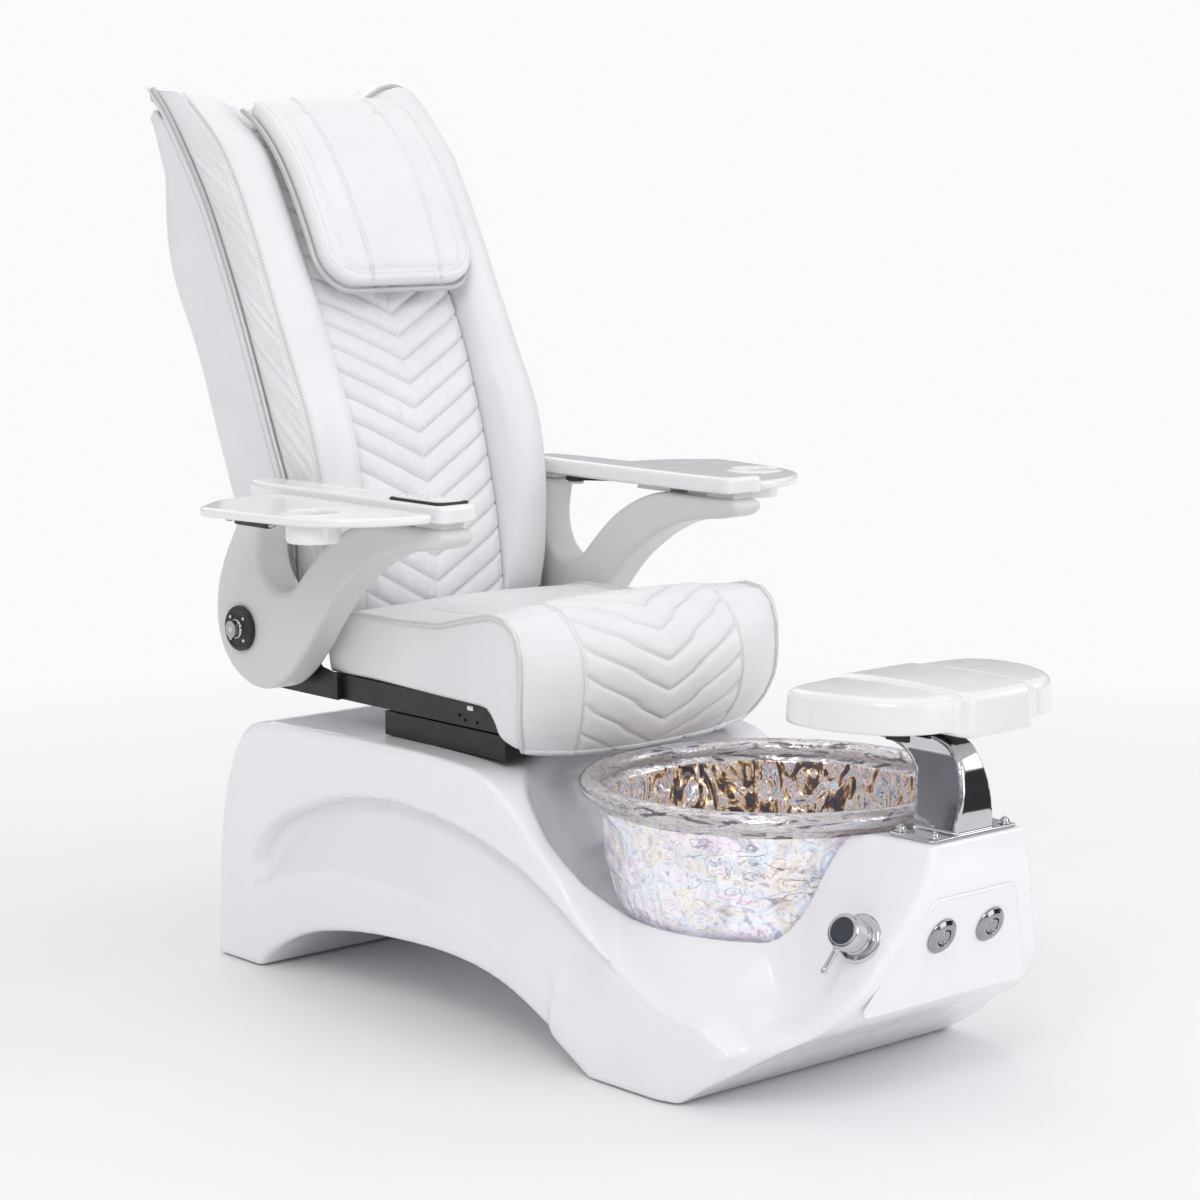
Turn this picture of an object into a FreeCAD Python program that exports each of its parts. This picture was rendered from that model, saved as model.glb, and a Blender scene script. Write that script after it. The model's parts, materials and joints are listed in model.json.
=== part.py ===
import FreeCAD, Part
import os, math
from FreeCAD import Vector as V

# ---------------------------------------------------------------------------
# Pedicure spa chair. Millimetres, +Z up, the sitter faces -Y, +X is the
# sitter's left. Origin: floor, middle of the overall outline.
# ---------------------------------------------------------------------------
ORIGIN_Y = 43.0            # design y of the overall outline's middle (subtracted on export)

# base
BASE_HW = 300.0            # half width of the moulded base
CORE_HW = 274.0            # half width inside the side coves
WALL = 8.0                 # moulded wall thickness
TOWER_TOP_Z = 404.0
BOWL_C = (0.0, -390.0)     # bowl axis (x, y)
BOWL_R = 297.0             # bowl rim outer radius
BOWL_TOP_Z = 430.0
# chair
SEAT_HW = 250.0            # half width between the armrests
SEAT_FRONT_HW = 270.0      # half width ahead of them
HINGE = (470.0, 540.0)     # backrest hinge (y, z)
HINGE_R = 8.0
ARM_PIVOT = (506.0, 583.0) # armrest pivot (y, z)
ARM_PIN_R = 9.0
ARM_X0, ARM_X1 = 274.0, 339.0
EAR_X0, EAR_X1 = 257.0, 263.0   # chair side ears that carry both pivots
PAD_Z0, PAD_Z1 = 800.0, 828.0
TRAY_PIVOT = (300.0, 404.0)
TRAY_PIN_R = 8.0
CUP = (468.0, 132.0)
CUP_R = 41.0
# footrest
FOOT_PIVOT = (-680.0, 541.0)
FOOT_PIN_R = 6.0
RUN = 0.05                 # running clearance on radius

os.makedirs("parts", exist_ok=True)
NODES = {}


def box(x0, x1, y0, y1, z0, z1):
    return Part.makeBox(x1 - x0, y1 - y0, z1 - z0, V(x0, y0, z0))


def cyl(p, d, r, h):
    return Part.makeCylinder(r, h, V(*p), V(*d))


def tube(p, d, ro, ri, h):
    d = V(*d); d.normalize()
    return Part.makeCylinder(ro, h, V(*p), d).cut(Part.makeCylinder(ri, h + 2, V(*p) - d, d))


def yz(points, x0, x1):
    w = Part.makePolygon([V(x0, y, z) for y, z in points] + [V(x0, points[0][0], points[0][1])])
    return Part.Face(w).extrude(V(x1 - x0, 0, 0))


def xy(points, z0, z1):
    w = Part.makePolygon([V(x, y, z0) for x, y in points] + [V(points[0][0], points[0][1], z0)])
    return Part.Face(w).extrude(V(0, 0, z1 - z0))


def revolve(profile, c):
    w = Part.makePolygon([V(c[0] + r, c[1], z) for r, z in profile] + [V(c[0] + profile[0][0], c[1], profile[0][1])])
    return Part.Face(w).revolve(V(c[0], c[1], 0), V(0, 0, 1), 360)


def loft(sections):
    wires = []
    for z, pts in sections:
        wires.append(Part.makePolygon([V(x, y, z) for x, y in pts] + [V(pts[0][0], pts[0][1], z)]))
    return Part.makeLoft(wires, True, True)


def mirror(s):
    return s.mirror(V(0, 0, 0), V(1, 0, 0))


def fuse(*shapes):
    s = shapes[0]
    if len(shapes) > 1:
        s = s.multiFuse(list(shapes[1:]))
    try:
        s = s.removeSplitter()
    except Exception:
        pass
    return s


def chamfer_all(s, r):
    try:
        c = s.makeFillet(r, s.Edges)
        if c.isValid() and c.Volume > 0:
            return c
    except Exception:
        pass
    return s


def inset(points, d):
    """Polygon inset by d (positive shrinks)."""
    w = Part.makePolygon([V(0, y, z) for y, z in points] + [V(0, points[0][0], points[0][1])])
    f = Part.Face(w).makeOffset2D(-d, 2, False, False, False)
    ws = f.Wires[0] if f.Wires else f
    vs = [v.Point for v in ws.OrderedVertexes]
    return [(p.y, p.z) for p in vs]


def smooth(points, n=3):
    """Catmull-Rom refinement of a closed outline."""
    out = []
    m = len(points)
    for i in range(m):
        p0, p1, p2, p3 = points[i - 1], points[i], points[(i + 1) % m], points[(i + 2) % m]
        for k in range(n):
            t = k / n
            q = []
            for a in range(2):
                q.append(0.5 * ((2 * p1[a]) + (-p0[a] + p2[a]) * t + (2 * p0[a] - 5 * p1[a] + 4 * p2[a] - p3[a]) * t * t + (-p0[a] + 3 * p1[a] - 3 * p2[a] + p3[a]) * t ** 3))
            out.append(tuple(q))
    return out


def node(name, *solids):
    flat = []
    for s in solids:
        flat += s.Solids if s.Solids else [s]
    NODES[name] = flat


# ============================ BASE =========================================
ARCH = [(-317, 0), (-274, 24), (-214, 56), (-154, 84), (-101, 103), (-30, 117), (49, 122), (148, 120), (232, 114), (310, 103), (391, 84), (455, 57), (510, 21), (535, 0)]
REAR = [(650, 0), (642, 70), (638, 188), (620, 281), (586, 365), (547, 405), (491, 426)]
TOP = [(260, 431), (94, 431), (-20, 428), (-90, 400), (-140, 364), (-186, 325), (-237, 286), (-266, 252), (-316, 207), (-360, 178), (-409, 158), (-471, 137), (-540, 128)]
SIDE = ARCH + REAR + TOP + [(-600, 100), (-560, 40), (-523, 0)]
SIDE = [(y, max(z, 3.0)) for y, z in SIDE]
LIP = [(553, 158), (534, 207), (467, 268), (376, 306), (280, 332), (161, 344), (31, 335), (-79, 312), (-155, 286), (-222, 253), (-288, 216), (-359, 177), (-430, 149)]
BAND = [(628, 69), (584, 108), (508, 150), (415, 181), (318, 201), (214, 204), (97, 198), (-8, 190), (-86, 166), (-139, 147), (-199, 109), (-243, 73), (-288, 43), (-345, 16)]

upper_cheek = [(553, 118)] + LIP + [(-440, 150)] + [p for p in TOP[::-1] if p[0] > -430] + REAR[::-1][:-1] + [(641, 110)]
leg_band = ARCH[1:] + [(650, 0), (643, 62)] + BAND[:-1]
leg_band = [(y, max(z, 3.0)) for y, z in leg_band]

core = yz(SIDE, -CORE_HW, CORE_HW)
cheek = yz(upper_cheek, CORE_HW, BASE_HW)
band = yz(leg_band, CORE_HW, BASE_HW)

CONSOLE = [
    (3.0, 232, -523, 276, -480, 296, -425),
    (45.0, 240, -592, 280, -520, 298, -430),
    (85.0, 242, -656, 284, -545, 299, -430),
    (120.0, 235, -712, 282, -570, 299, -430),
    (142.0, 216, -731, 268, -600, 290, -440),
    (157.0, 205, -736, 252, -610, 270, -440),
    (227.0, 161, -759.6, 196, -620, 205, -440),
    (275.0, 142, -775.8, 160, -640, 170, -480),
    (326.0, 124, -793, 136, -650, 140, -500),
    (404.0, 96, -797, 113, -660, 113, -540),
]


def console(d):
    secs = []
    for z, w1, y1, w2, y2, w3, y3 in CONSOLE:
        zz = z
        if d:
            zz = -12.0 if z == 3.0 else (z if z < 400 else z - d)
        secs.append((zz, [(-w1 + d, y1 + d), (w1 - d, y1 + d), (w2 - d, y2 + d * 0.4), (w3 - d, y3), (-w3 + d, y3), (-w2 + d, y2 + d * 0.4)]))
    return loft(secs)


collar = revolve([(0, 60), (298, 60), (298, 138), (270, 172), (238, 214), (214, 226), (0, 226)], BOWL_C)
collar = collar.cut(yz([(-523, 3), (-656, 85), (-745, 141), (-900, 150), (-900, -20), (-523, -20)], -400, 400))
outer = fuse(core, cheek, mirror(cheek), band, mirror(band), console(0), collar)

# inside of the moulding, open at the floor
in_side = inset([(y, z if z > 3.0 else -12.0) for y, z in SIDE], WALL)
in_core = yz([(y, z) for y, z in in_side], -CORE_HW + WALL, CORE_HW - WALL)
collar_in = revolve([(0, 60), (286, 60), (286, 130), (262, 164), (232, 206), (210, 218), (0, 218)], BOWL_C)
collar_in = collar_in.cut(yz([(-515, 0), (-650, 87), (-737, 143), (-900, 150), (-900, -20), (-515, -20)], -400, 400))
inner = fuse(in_core, console(WALL), collar_in)

# hollow where the bowl and its flared recess go
bowl_clear = [(0, 180), (112, 180), (166, 190), (190, 203), (210, 212), (236, 233), (248, 266), (257, 298), (264, 338), (270, 366), (281, 398), (301, 402), (303, 460), (0, 460)]
flare = [(0, 226), (180, 226), (222, 240), (262, 275), (296, 330), (318, 385), (330, 432), (332, 460), (0, 460)]
FLARE_C = (0.0, -310.0)
dish = fuse(revolve(bowl_clear, BOWL_C), revolve(flare, FLARE_C))
bowl_wall = [(0, 172), (116, 172), (170, 181), (196, 194), (216, 203), (243, 226), (256, 262), (265, 296), (272, 337), (278, 365), (289, 390), (310, 394), (312, 470), (0, 470)]
flare_wall = [(0, 217), (183, 217), (228, 233), (269, 270), (304, 326), (326, 382), (338, 430), (340, 470), (0, 470)]
dish_wall = fuse(revolve(bowl_wall, BOWL_C), revolve(flare_wall, FLARE_C))
inner = inner.cut(dish_wall)
base_shell = outer.cut(dish).cut(inner)
# drain opening, jet opening, console panel window, valve holes
base_shell = base_shell.cut(cyl((0, BOWL_C[1], 150), (0, 0, 1), 52, 60))
JET_Z = 300.0
base_shell = base_shell.cut(cyl((0, -600, JET_Z), (0, -1, 0), 36, 90))

FACE_N = V(0, -0.94762, -0.31939)        # outward normal of the console front face
FACE_UP = V(0, -0.31939, 0.94762)
FACE_P = V(0, -772.42, 265.0)            # point on the front face at button height


def on_face(x, up, out):
    return FACE_P + V(x, 0, 0) + FACE_UP * up + FACE_N * out


def face_prism(pts, out0, out1):
    a = [on_face(x, u, out0) for x, u in pts]
    w = Part.makePolygon(a + [a[0]])
    return Part.Face(w).extrude(FACE_N * (out1 - out0))


PANEL = [(-178, -113), (178, -113), (86, 63), (-86, 63)]
PANEL_IN = [(-176.4, -112), (176.4, -112), (85.2, 62), (-85.2, 62)]
base_shell = base_shell.cut(face_prism(PANEL, -5.2, 30))
for x in (-51, 51):
    base_shell = base_shell.cut(Part.makeCylinder(16.2, 60, on_face(x, 0, -40), FACE_N))
MIX_N = V(0.895, -0.12, 0.43); MIX_N.normalize()
MIX_P = V(153, -715, 266)
ring_cut = Part.makeCylinder(19, 80, MIX_P - MIX_N * 50, MIX_N)
base_shell = base_shell.cut(ring_cut).cut(mirror(ring_cut))
# holes for the chair's four studs
for sx in (-1, 1):
    for y in (0, 220):
        base_shell = base_shell.cut(cyl((sx * 222, y, 380), (0, 0, 1), 7.5, 80))
# rear service opening
base_shell = base_shell.cut(box(-150, 150, 600, 680, 90, 250))
base_shell = base_shell.cut(box(-400, 400, -900, 800, -50, 3))
best = max(base_shell.Solids, key=lambda s: s.Volume)
node("base_shell", best)
node("service_panel", box(-162, 162, 643, 647, 84, 256).fuse(box(-146, 146, 641, 643.0, 94, 246)))
node("service_panel_screws", *[cyl((x, 647, z), (0, 1, 0), 5, 3) for x in (-150, 150) for z in (96, 244)])

# seals the panel window from behind
node("console_panel", face_prism(PANEL_IN, -5.0, -0.4)
     .cut(Part.makeCylinder(16, 30, on_face(-51, 0, -20), FACE_N))
     .cut(Part.makeCylinder(16, 30, on_face(51, 0, -20), FACE_N)))


def bezel(x):
    b = Part.makeCone(26, 20, 7, on_face(x, 0, -0.3), FACE_N)
    b = b.fuse(Part.makeCylinder(15.6, 26, on_face(x, 0, -26.5), FACE_N))
    return b.cut(Part.makeCylinder(12.0, 60, on_face(x, 0, -22), FACE_N))


def plunger(x):
    return Part.makeCylinder(11.92, 17, on_face(x, 0, -10), FACE_N)


node("button_bezels", bezel(-51), bezel(51))
node("button_right", plunger(-51))
node("button_left", plunger(51))

# steel inner frame and feet
def strut(x, a, b, w, t):
    d = V(0, b[0] - a[0], b[1] - a[1]); n = V(0, -d.z, d.y); n.normalize(); n = n * (t / 2)
    p = [V(x - w / 2, a[0], a[1]) + n, V(x - w / 2, a[0], a[1]) - n, V(x - w / 2, b[0], b[1]) - n, V(x - w / 2, b[0], b[1]) + n]
    return Part.Face(Part.makePolygon(p + [p[0]])).extrude(V(w, 0, 0))


frame = []
for sx in (-1, 1):
    frame.append(box(sx * 205 - 15, sx * 205 + 15, 52, 500, 380, 408))
    frame.append(box(sx * 205 - 15, sx * 205 + 15, 540, 568, 20, 340))
    frame.append(strut(sx * 205, (75, 392), (-62, 300), 30, 24))
    frame.append(strut(sx * 205, (488, 390), (556, 330), 30, 20))
    frame.append(strut(sx * 205, (-52, 308), (-250, 130), 30, 20))
    frame.append(strut(sx * 205, (-244, 136), (-402, 22), 30, 16))
frame.append(box(-205, 205, 440, 466, 382, 406))
frame.append(box(-205, 205, 110, 136, 382, 406))
frame.append(box(-205, 205, 542, 566, 300, 324))
frame.append(box(-235, 235, 540, 612, 16, 22))
frame.append(box(-196, 196, 124, 452, 404, 409.5))
frame.append(box(-235, 235, -455, -395, 16, 22))
node("base_frame", fuse(*frame))
FEET = [(-195, 585), (195, 585), (-195, -425), (195, -425)]
feet = []
for x, y in FEET:
    feet.append(cyl((x, y, 0), (0, 0, 1), 24, 8).fuse(cyl((x, y, 8), (0, 0, 1), 7, 8)))
node("levelling_feet", *feet)

# bowl and waterworks
BOWL = [(26, 186), (106, 186), (165, 196), (186, 208), (206, 217), (231, 238), (243, 269), (252, 301), (259, 341), (265, 369), (274, 400),
        (291, 405), (297, 412), (297, 426), (292, 432), (266, 432), (258, 427), (255, 402), (250, 369), (244, 341), (237, 303), (228, 273), (217, 249), (196, 231), (160, 211), (106, 198), (26, 198)]
bowl = revolve(BOWL, BOWL_C).cut(cyl((0, -600, JET_Z), (0, -1, 0), 30, 70))
node("bowl", bowl)
node("drain_flange", fuse(tube((0, BOWL_C[1], 198), (0, 0, 1), 38, 20, 4), tube((0, BOWL_C[1], 110), (0, 0, 1), 25.5, 20, 88.0)))
node("drain_plug", fuse(cyl((0, BOWL_C[1], 202.5), (0, 0, 1), 30, 5), cyl((0, BOWL_C[1], 165), (0, 0, 1), 6, 38), cyl((0, BOWL_C[1], 207), (0, 0, 1), 5, 9)))
node("drain_hose", fuse(tube((0, BOWL_C[1], 60), (0, 0, 1), 22, 19, 50), box(-22, 22, BOWL_C[1] - 22, BOWL_C[1] + 22, 48, 60)))
JY = -630.0
jet_h = fuse(tube((0, JY + 24, JET_Z), (0, -1, 0), 29.5, 24, 62), tube((0, JY + 28, JET_Z), (0, -1, 0), 44, 24, 4))
node("jet_housing", jet_h)
cap = Part.makeCone(44, 34, 12, V(0, JY + 28.5, JET_Z), V(0, 1, 0)).cut(Part.makeCone(40, 30, 9, V(0, JY + 28.4, JET_Z), V(0, 1, 0)))
for k in range(8):
    a = k * math.pi / 4
    cap = cap.cut(cyl((22 * math.cos(a), JY + 25, JET_Z + 22 * math.sin(a)), (0, 1, 0), 4, 30))
cap = cap.cut(cyl((0, JY + 25, JET_Z), (0, 1, 0), 8, 30))
node("jet_cap", cap)
imp = [cyl((0, JY + 16, JET_Z), (0, -1, 0), 10, 22)]
for k in range(6):
    b = box(-1.5, 1.5, JY - 6, JY + 14, JET_Z + 8, JET_Z + 22)
    b.rotate(V(0, JY, JET_Z), V(0, 1, 0), 60 * k)
    imp.append(b)
imp = fuse(*imp).cut(cyl((0, JY + 30, JET_Z), (0, -1, 0), 3 + RUN, 80))
node("jet_impeller", imp)
node("jet_motor", fuse(cyl((0, JY - 39, JET_Z), (0, -1, 0), 38, 40), cyl((0, JY + 18, JET_Z), (0, -1, 0), 3, 58)))
node("control_box", box(-90, 90, 180, 330, 250, 330))
node("supply_hoses", *[cyl((x, 60, 190), (0, 1, 0), 8, 520) for x in (-110, 110)],
     *[Part.makeCylinder(4, 60, on_face(x, 0, -88), FACE_N) for x in (-51, 51)])

# mixer on the sitter's right-hand side face, spray head on the other side
MN = V(-MIX_N.x, MIX_N.y, MIX_N.z)
MP = V(-MIX_P.x, MIX_P.y, MIX_P.z)


def mcyl(a, r, h):
    return Part.makeCylinder(r, h, MP + MN * a, MN)


node("mixer_escutcheon", mcyl(4.0, 35, 7).cut(mcyl(-5, 17, 40)))
node("mixer_body", fuse(mcyl(-40, 16.5, 70)).cut(mcyl(-60, 8, 60)))
turret = fuse(mcyl(13.5, 26, 39)).cut(mcyl(5, 16.5 + RUN, 26))
lev_d = MN.cross(V(0, 0.9, 0.25)); lev_d.normalize()
if lev_d.z > 0:
    lev_d = lev_d * -1
lever = Part.makeCylinder(3, 34, MP + MN * 42 + lev_d * 24, lev_d)
node("mixer_turret", fuse(turret, lever))


def scyl(a, r, h):
    return Part.makeCylinder(r, h, MIX_P + MIX_N * a, MIX_N)


node("spray_holder", fuse(scyl(3.0, 24, 7), scyl(-14, 18, 17)).cut(scyl(-30, 9, 80)))
node("spray_head", fuse(scyl(10.5, 17, 26), Part.makeCone(17, 13, 6, MIX_P + MIX_N * 36.5, MIX_N), scyl(-80, 8, 90)))

# ============================ FOOTREST =====================================
plate = box(-90, 90, -790, -700, TOWER_TOP_Z, TOWER_TOP_Z + 5)
node("footrest_bolts", *[cyl((x, y, TOWER_TOP_Z + 5), (0, 0, 1), 6, 5) for x in (-74, 74) for y in (-778, -714)])
BR = [(-706, 409), (-786, 409), (-790, 440), (-789, 470), (-781, 500), (-768, 524), (-750, 537), (-700, 547), (-660, 547), (-606, 534), (-604, 527), (-640, 522), (-676, 508), (-696, 488), (-704, 462)]
br = yz(BR, -38, 38)
br = br.cut(yz([(-660, 400), (-720, 400), (-722, 462), (-712, 495), (-690, 515), (-640, 531), (-600, 536), (-560, 400)], -33, 33))
br = br.cut(cyl((-60, FOOT_PIVOT[0], FOOT_PIVOT[1]), (1, 0, 0), FOOT_PIN_R + RUN, 120))
node("footrest_bracket", fuse(br, plate))
hinge_plate = fuse(box(-52, 52, -760, -612, 552, 556), box(42, 50, -700, -660, 530, 552), box(-50, -42, -700, -660, 530, 552))
node("footrest_hinge", fuse(hinge_plate, cyl((-52, FOOT_PIVOT[0], FOOT_PIVOT[1]), (1, 0, 0), FOOT_PIN_R, 104)))
PADP = [(-168, -592), (-190, -612), (-198, -660), (-196, -722), (-180, -752), (-150, -766), (-104, -772), (-94, -786), (-86, -808), (-60, -820), (0, -822)]
padp = [(-100, -588)] + PADP + [(-x, y) for x, y in PADP[::-1] if x != 0] + [(100, -588)]
pad = loft([(556, [(x * 1.0, y) for x, y in padp]), (590, [(x * 0.985, -705 + (y + 705) * 0.985) for x, y in padp]), (621, [(x * 0.94, -705 + (y + 705) * 0.93) for x, y in padp])])
node("footrest_pad", pad)

# ============================ SEAT SLIDE ===================================
lower = []
for sx in (-1, 1):
    x0, x1 = sorted((sx * 204, sx * 246))
    lower.append(box(x0, x1, -52, 246, 432, 470))
lower.append(box(-204, 204, 20, 60, 432, 452))
lower.append(box(-204, 204, 180, 220, 432, 452))
for sx in (-1, 1):
    for y in (0, 220):
        lower.append(cyl((sx * 222, y, 410), (0, 0, 1), 6, 24))
node("slide_base", fuse(*lower))
SL = (90.0, 466.0)           # slide actuator axis (x, z)
node("slide_motor", fuse(box(SL[0] - 22, SL[0] + 22, 24, 62, 452.2, 480), cyl((SL[0], 62, SL[1]), (0, 1, 0), 11, 170))
     .cut(cyl((SL[0], 62, SL[1]), (0, 1, 0), 7 + RUN, 180)))
node("slide_rod", cyl((SL[0], 172, SL[1]), (0, 1, 0), 7, 178))

# seat frame: side plates, cross members, pan
PLATE = [(-44, 475), (396, 475), (396, 516), (-36, 514)]
EAR = [(350, 475), (508, 475), (556, 500), (574, 560), (566, 620), (530, 640), (500, 632), (452, 590), (420, 552), (396, 524), (350, 516)]
side = yz(PLATE, 246, 252)
ear = yz(EAR, EAR_X0, EAR_X1)
joggle = box(246, EAR_X1, 352, 394, 475, 515)
for y, z in ((50, 491), (36, 485), (7, 485)):
    side = side.cut(cyl((240, y, z), (1, 0, 0), 3, 20))
side = fuse(side, ear, joggle)
side = side.cut(cyl((240, HINGE[0], HINGE[1]), (1, 0, 0), HINGE_R, 40)).cut(cyl((240, ARM_PIVOT[0], ARM_PIVOT[1]), (1, 0, 0), ARM_PIN_R, 40))
runner = box(206, 247, -40, 300, 475, 486)
nut = box(SL[0] - 20, SL[0] + 20, 345, 357, 455, 486)
seat_frame = fuse(side, mirror(side), runner, mirror(runner), box(-247, 247, -40, -10, 486, 510), box(-247, 247, 330, 360, 486, 510),
                  box(-247, 247, 150, 180, 486, 510), nut, box(-246, 246, -30, 385, 509.5, 514))
seat_frame = seat_frame.cut(cyl((SL[0], 340, SL[1]), (0, 1, 0), 7.0, 30))
node("seat_frame", fuse(seat_frame))
SEAT = [(-100, 650), (-70, 660), (-30, 656), (21, 646), (95, 627), (196, 619), (339, 617), (384, 606), (390, 570), (384, 517), (-36, 517), (-54, 504), (-68, 476), (-82, 450), (-134, 450), (-148, 470), (-158, 540), (-146, 600), (-124, 634)]
seat_plan = [(-SEAT_HW + 2, 400), (SEAT_HW - 2, 400), (SEAT_HW - 2, 290), (SEAT_FRONT_HW, -30), (SEAT_FRONT_HW, -120), (SEAT_FRONT_HW - 30, -170),
             (-SEAT_FRONT_HW + 30, -170), (-SEAT_FRONT_HW, -120), (-SEAT_FRONT_HW, -30), (-SEAT_HW + 2, 290)]
node("seat_cushion", yz(SEAT, -SEAT_FRONT_HW, SEAT_FRONT_HW).common(xy(seat_plan, 400, 700)))

# recline actuator: body hangs on the seat frame, rod pushes the back lever
ACT_A = (190.0, 474.0)       # rear eye (seat frame side), open pivot at the back lever
act_d = V(0, 1, 0)
node("recline_motor", fuse(box(-20, 20, 135, 178, 458, 485.8), cyl((0, 178, 473), (0, 1, 0), 11, 130)).cut(cyl((0, 180, 473), (0, 1, 0), 6 + RUN, 150)))
node("recline_rod", fuse(cyl((0, 225, 473), (0, 1, 0), 6, 175), box(-9, 9, 398, 414, 464, 482)))

# ============================ BACKREST =====================================
FRONT = [(414, 596), (419, 640), (431, 728), (458, 847), (489, 948), (528, 1050), (566, 1129), (604, 1205), (650, 1290), (700, 1370), (744, 1420), (782, 1448)]
BOL_F = [(424, 600), (408, 655), (400, 720), (398, 794), (404, 863), (424, 931), (474, 1031), (526, 1133), (578, 1236), (622, 1313), (660, 1366), (716, 1412), (786, 1456)]
PIPE = [(470, 640), (478, 720), (492, 800), (530, 890), (580, 1008), (620, 1098), (660, 1180), (712, 1275), (756, 1357), (800, 1438)]
SHELL_R = [(600, 600), (640, 660), (684, 752), (725, 853), (793, 1019), (842, 1110), (864, 1170), (874, 1238), (874, 1307), (888, 1350), (900, 1400), (908, 1440)]


def push(curve, d):
    """Offset an open curve to the rear by d, square to its local slope."""
    out = []
    for i, p in enumerate(curve):
        a = curve[max(i - 1, 0)]; b = curve[min(i + 1, len(curve) - 1)]
        t = (b[0] - a[0], b[1] - a[1]); L = math.hypot(*t)
        out.append((p[0] + t[1] / L * d, p[1] - t[0] / L * d))
    return out


center = FRONT + push(FRONT, 52)[::-1]
node("back_cushion", yz(center, -149, 149))
bol = BOL_F + [(812, 1440)] + push(PIPE, 0)[::-1]
bol_r = yz(bol, 151, SEAT_HW)
node("bolster_left", bol_r)
node("bolster_right", mirror(bol_r))
# rear cover: side walls, rear wall, top
rear_in = push(SHELL_R, -6)
cover_poly = [(496, 640)] + [(y + 9, z - 2) for y, z in PIPE[1:]] + [(818, 1446), (862, 1466), (896, 1462)] + SHELL_R[::-1]
cover_in = [(490, 606)] + [(y - 60, z - 2) for y, z in PIPE[1:]] + [(760, 1436), (894, 1446)] + [(y - 7, z) for y, z in SHELL_R[::-1][1:]] + [(592, 590)]
cover = yz([(496, 606)] + cover_poly[1:-1] + [(604, 606)], -250, 250).cut(yz([(380, 560)] + [(y - 60, z - 2) for y, z in PIPE[1:]] + [(740, 1436), (893, 1447)] + [(y - 8, z) for y, z in SHELL_R[::-1][1:-1]] + [(590, 560)], -244, 244))
node("back_cover", max(cover.Solids, key=lambda s: s.Volume))
# steel back frame with hinge ears
lug = yz([(452, 520), (490, 520), (492, 580), (540, 700), (580, 800), (550, 806), (500, 700), (450, 590)], 232, 242)
upright = yz([(548, 790), (580, 790), (732, 1100), (810, 1300), (770, 1312), (672, 1110)], 206, 242)
lug = lug.cut(cyl((220, HINGE[0], HINGE[1]), (1, 0, 0), HINGE_R + RUN, 40))
lug2 = fuse(lug, upright)
cross1 = box(-207, 207, 556, 580, 790, 812)
cross2 = box(-207, 207, 724, 744, 1106, 1130)
lever_bar = fuse(box(-233, 233, 460, 484, 560, 576), yz([(466, 562), (482, 562), (470, 500), (452, 462), (440, 462), (436, 474), (452, 504)], -8, 8))
back_frame = fuse(lug2, mirror(lug2), cross1, cross2, lever_bar)
node("back_frame", back_frame)
hp = fuse(cyl((231, HINGE[0], HINGE[1]), (1, 0, 0), HINGE_R, EAR_X1 - 231), cyl((242.5, HINGE[0], HINGE[1]), (1, 0, 0), 13, EAR_X0 - 243))
node("hinge_pins", hp, mirror(hp))
# headrest pillow
PILF = [(520, 1140), (524, 1180), (556, 1270), (604, 1355), (660, 1420), (706, 1452), (752, 1462)]
PILB = [(553, 1132), (600, 1230), (646, 1312), (690, 1380), (740, 1436), (772, 1456)]
PIL_OFF = [(y - 6, z + 4) for y, z in PILB]
BOLC = [(y - 8, z + 4) for y, z in BOL_F if z > 1120]
pil = [(522, 1146), (526, 1180), (552, 1265), (592, 1340), (640, 1400), (690, 1440), (738, 1462), (762, 1462), (716, 1422), (652, 1374), (612, 1318), (568, 1241), (527, 1158)]
pil = [(493, 1134), (496, 1169), (525, 1254), (567, 1329), (618, 1389), (673, 1430), (728, 1450), (765, 1450), (705, 1404), (647, 1358), (607, 1302), (562, 1224), (521, 1144), (507, 1124)]
node("headrest_pillow", yz(pil, -160, 160))
# massage drive
MD = V(0, 0.342, 0.9397)
def along(p, s, off=0.0):
    return V(p[0], p[1] + 0.342 * s - 0.9397 * off, p[2] + 0.9397 * s + 0.342 * off)
def mbox(x0, x1, s0, s1, o0, o1, base=(0, 590, 800)):
    pts = [along((x0, base[1], base[2]), s0, o0), along((x0, base[1], base[2]), s1, o0), along((x0, base[1], base[2]), s1, o1), along((x0, base[1], base[2]), s0, o1)]
    return Part.Face(Part.makePolygon(pts + [pts[0]])).extrude(V(x1 - x0, 0, 0))
rails = [mbox(-88, -76, 15, 372, -8, 8), mbox(76, 88, 15, 372, -8, 8), mbox(-88, 88, 2, 15, -8, 8), mbox(-88, 88, 372, 385, -8, 8)]
node("massage_rails", fuse(*rails))
carr = fuse(mbox(-74, 74, 40, 110, -10, 10), mbox(-96, -90, 45, 105, -12, 12), mbox(90, 96, 45, 105, -12, 12), mbox(-96, 96, 60, 92, 9.0, 14), mbox(-60, -50, 62, 88, 14, 68), mbox(50, 60, 62, 88, 14, 68))
ax_c = along((0, 590, 800), 75, 58)
carr = carr.cut(Part.makeCylinder(5.0 + RUN, 200, V(-100, ax_c.y, ax_c.z), V(1, 0, 0)))
node("massage_carriage", carr)
rol = [Part.makeCylinder(5.0, 132, V(-66, ax_c.y, ax_c.z), V(1, 0, 0))]
for x0 in (-48, 30):
    rol.append(Part.makeCylinder(19, 18, V(x0, ax_c.y, ax_c.z), V(1, 0, 0)))
node("massage_rollers", fuse(*rol))

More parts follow.
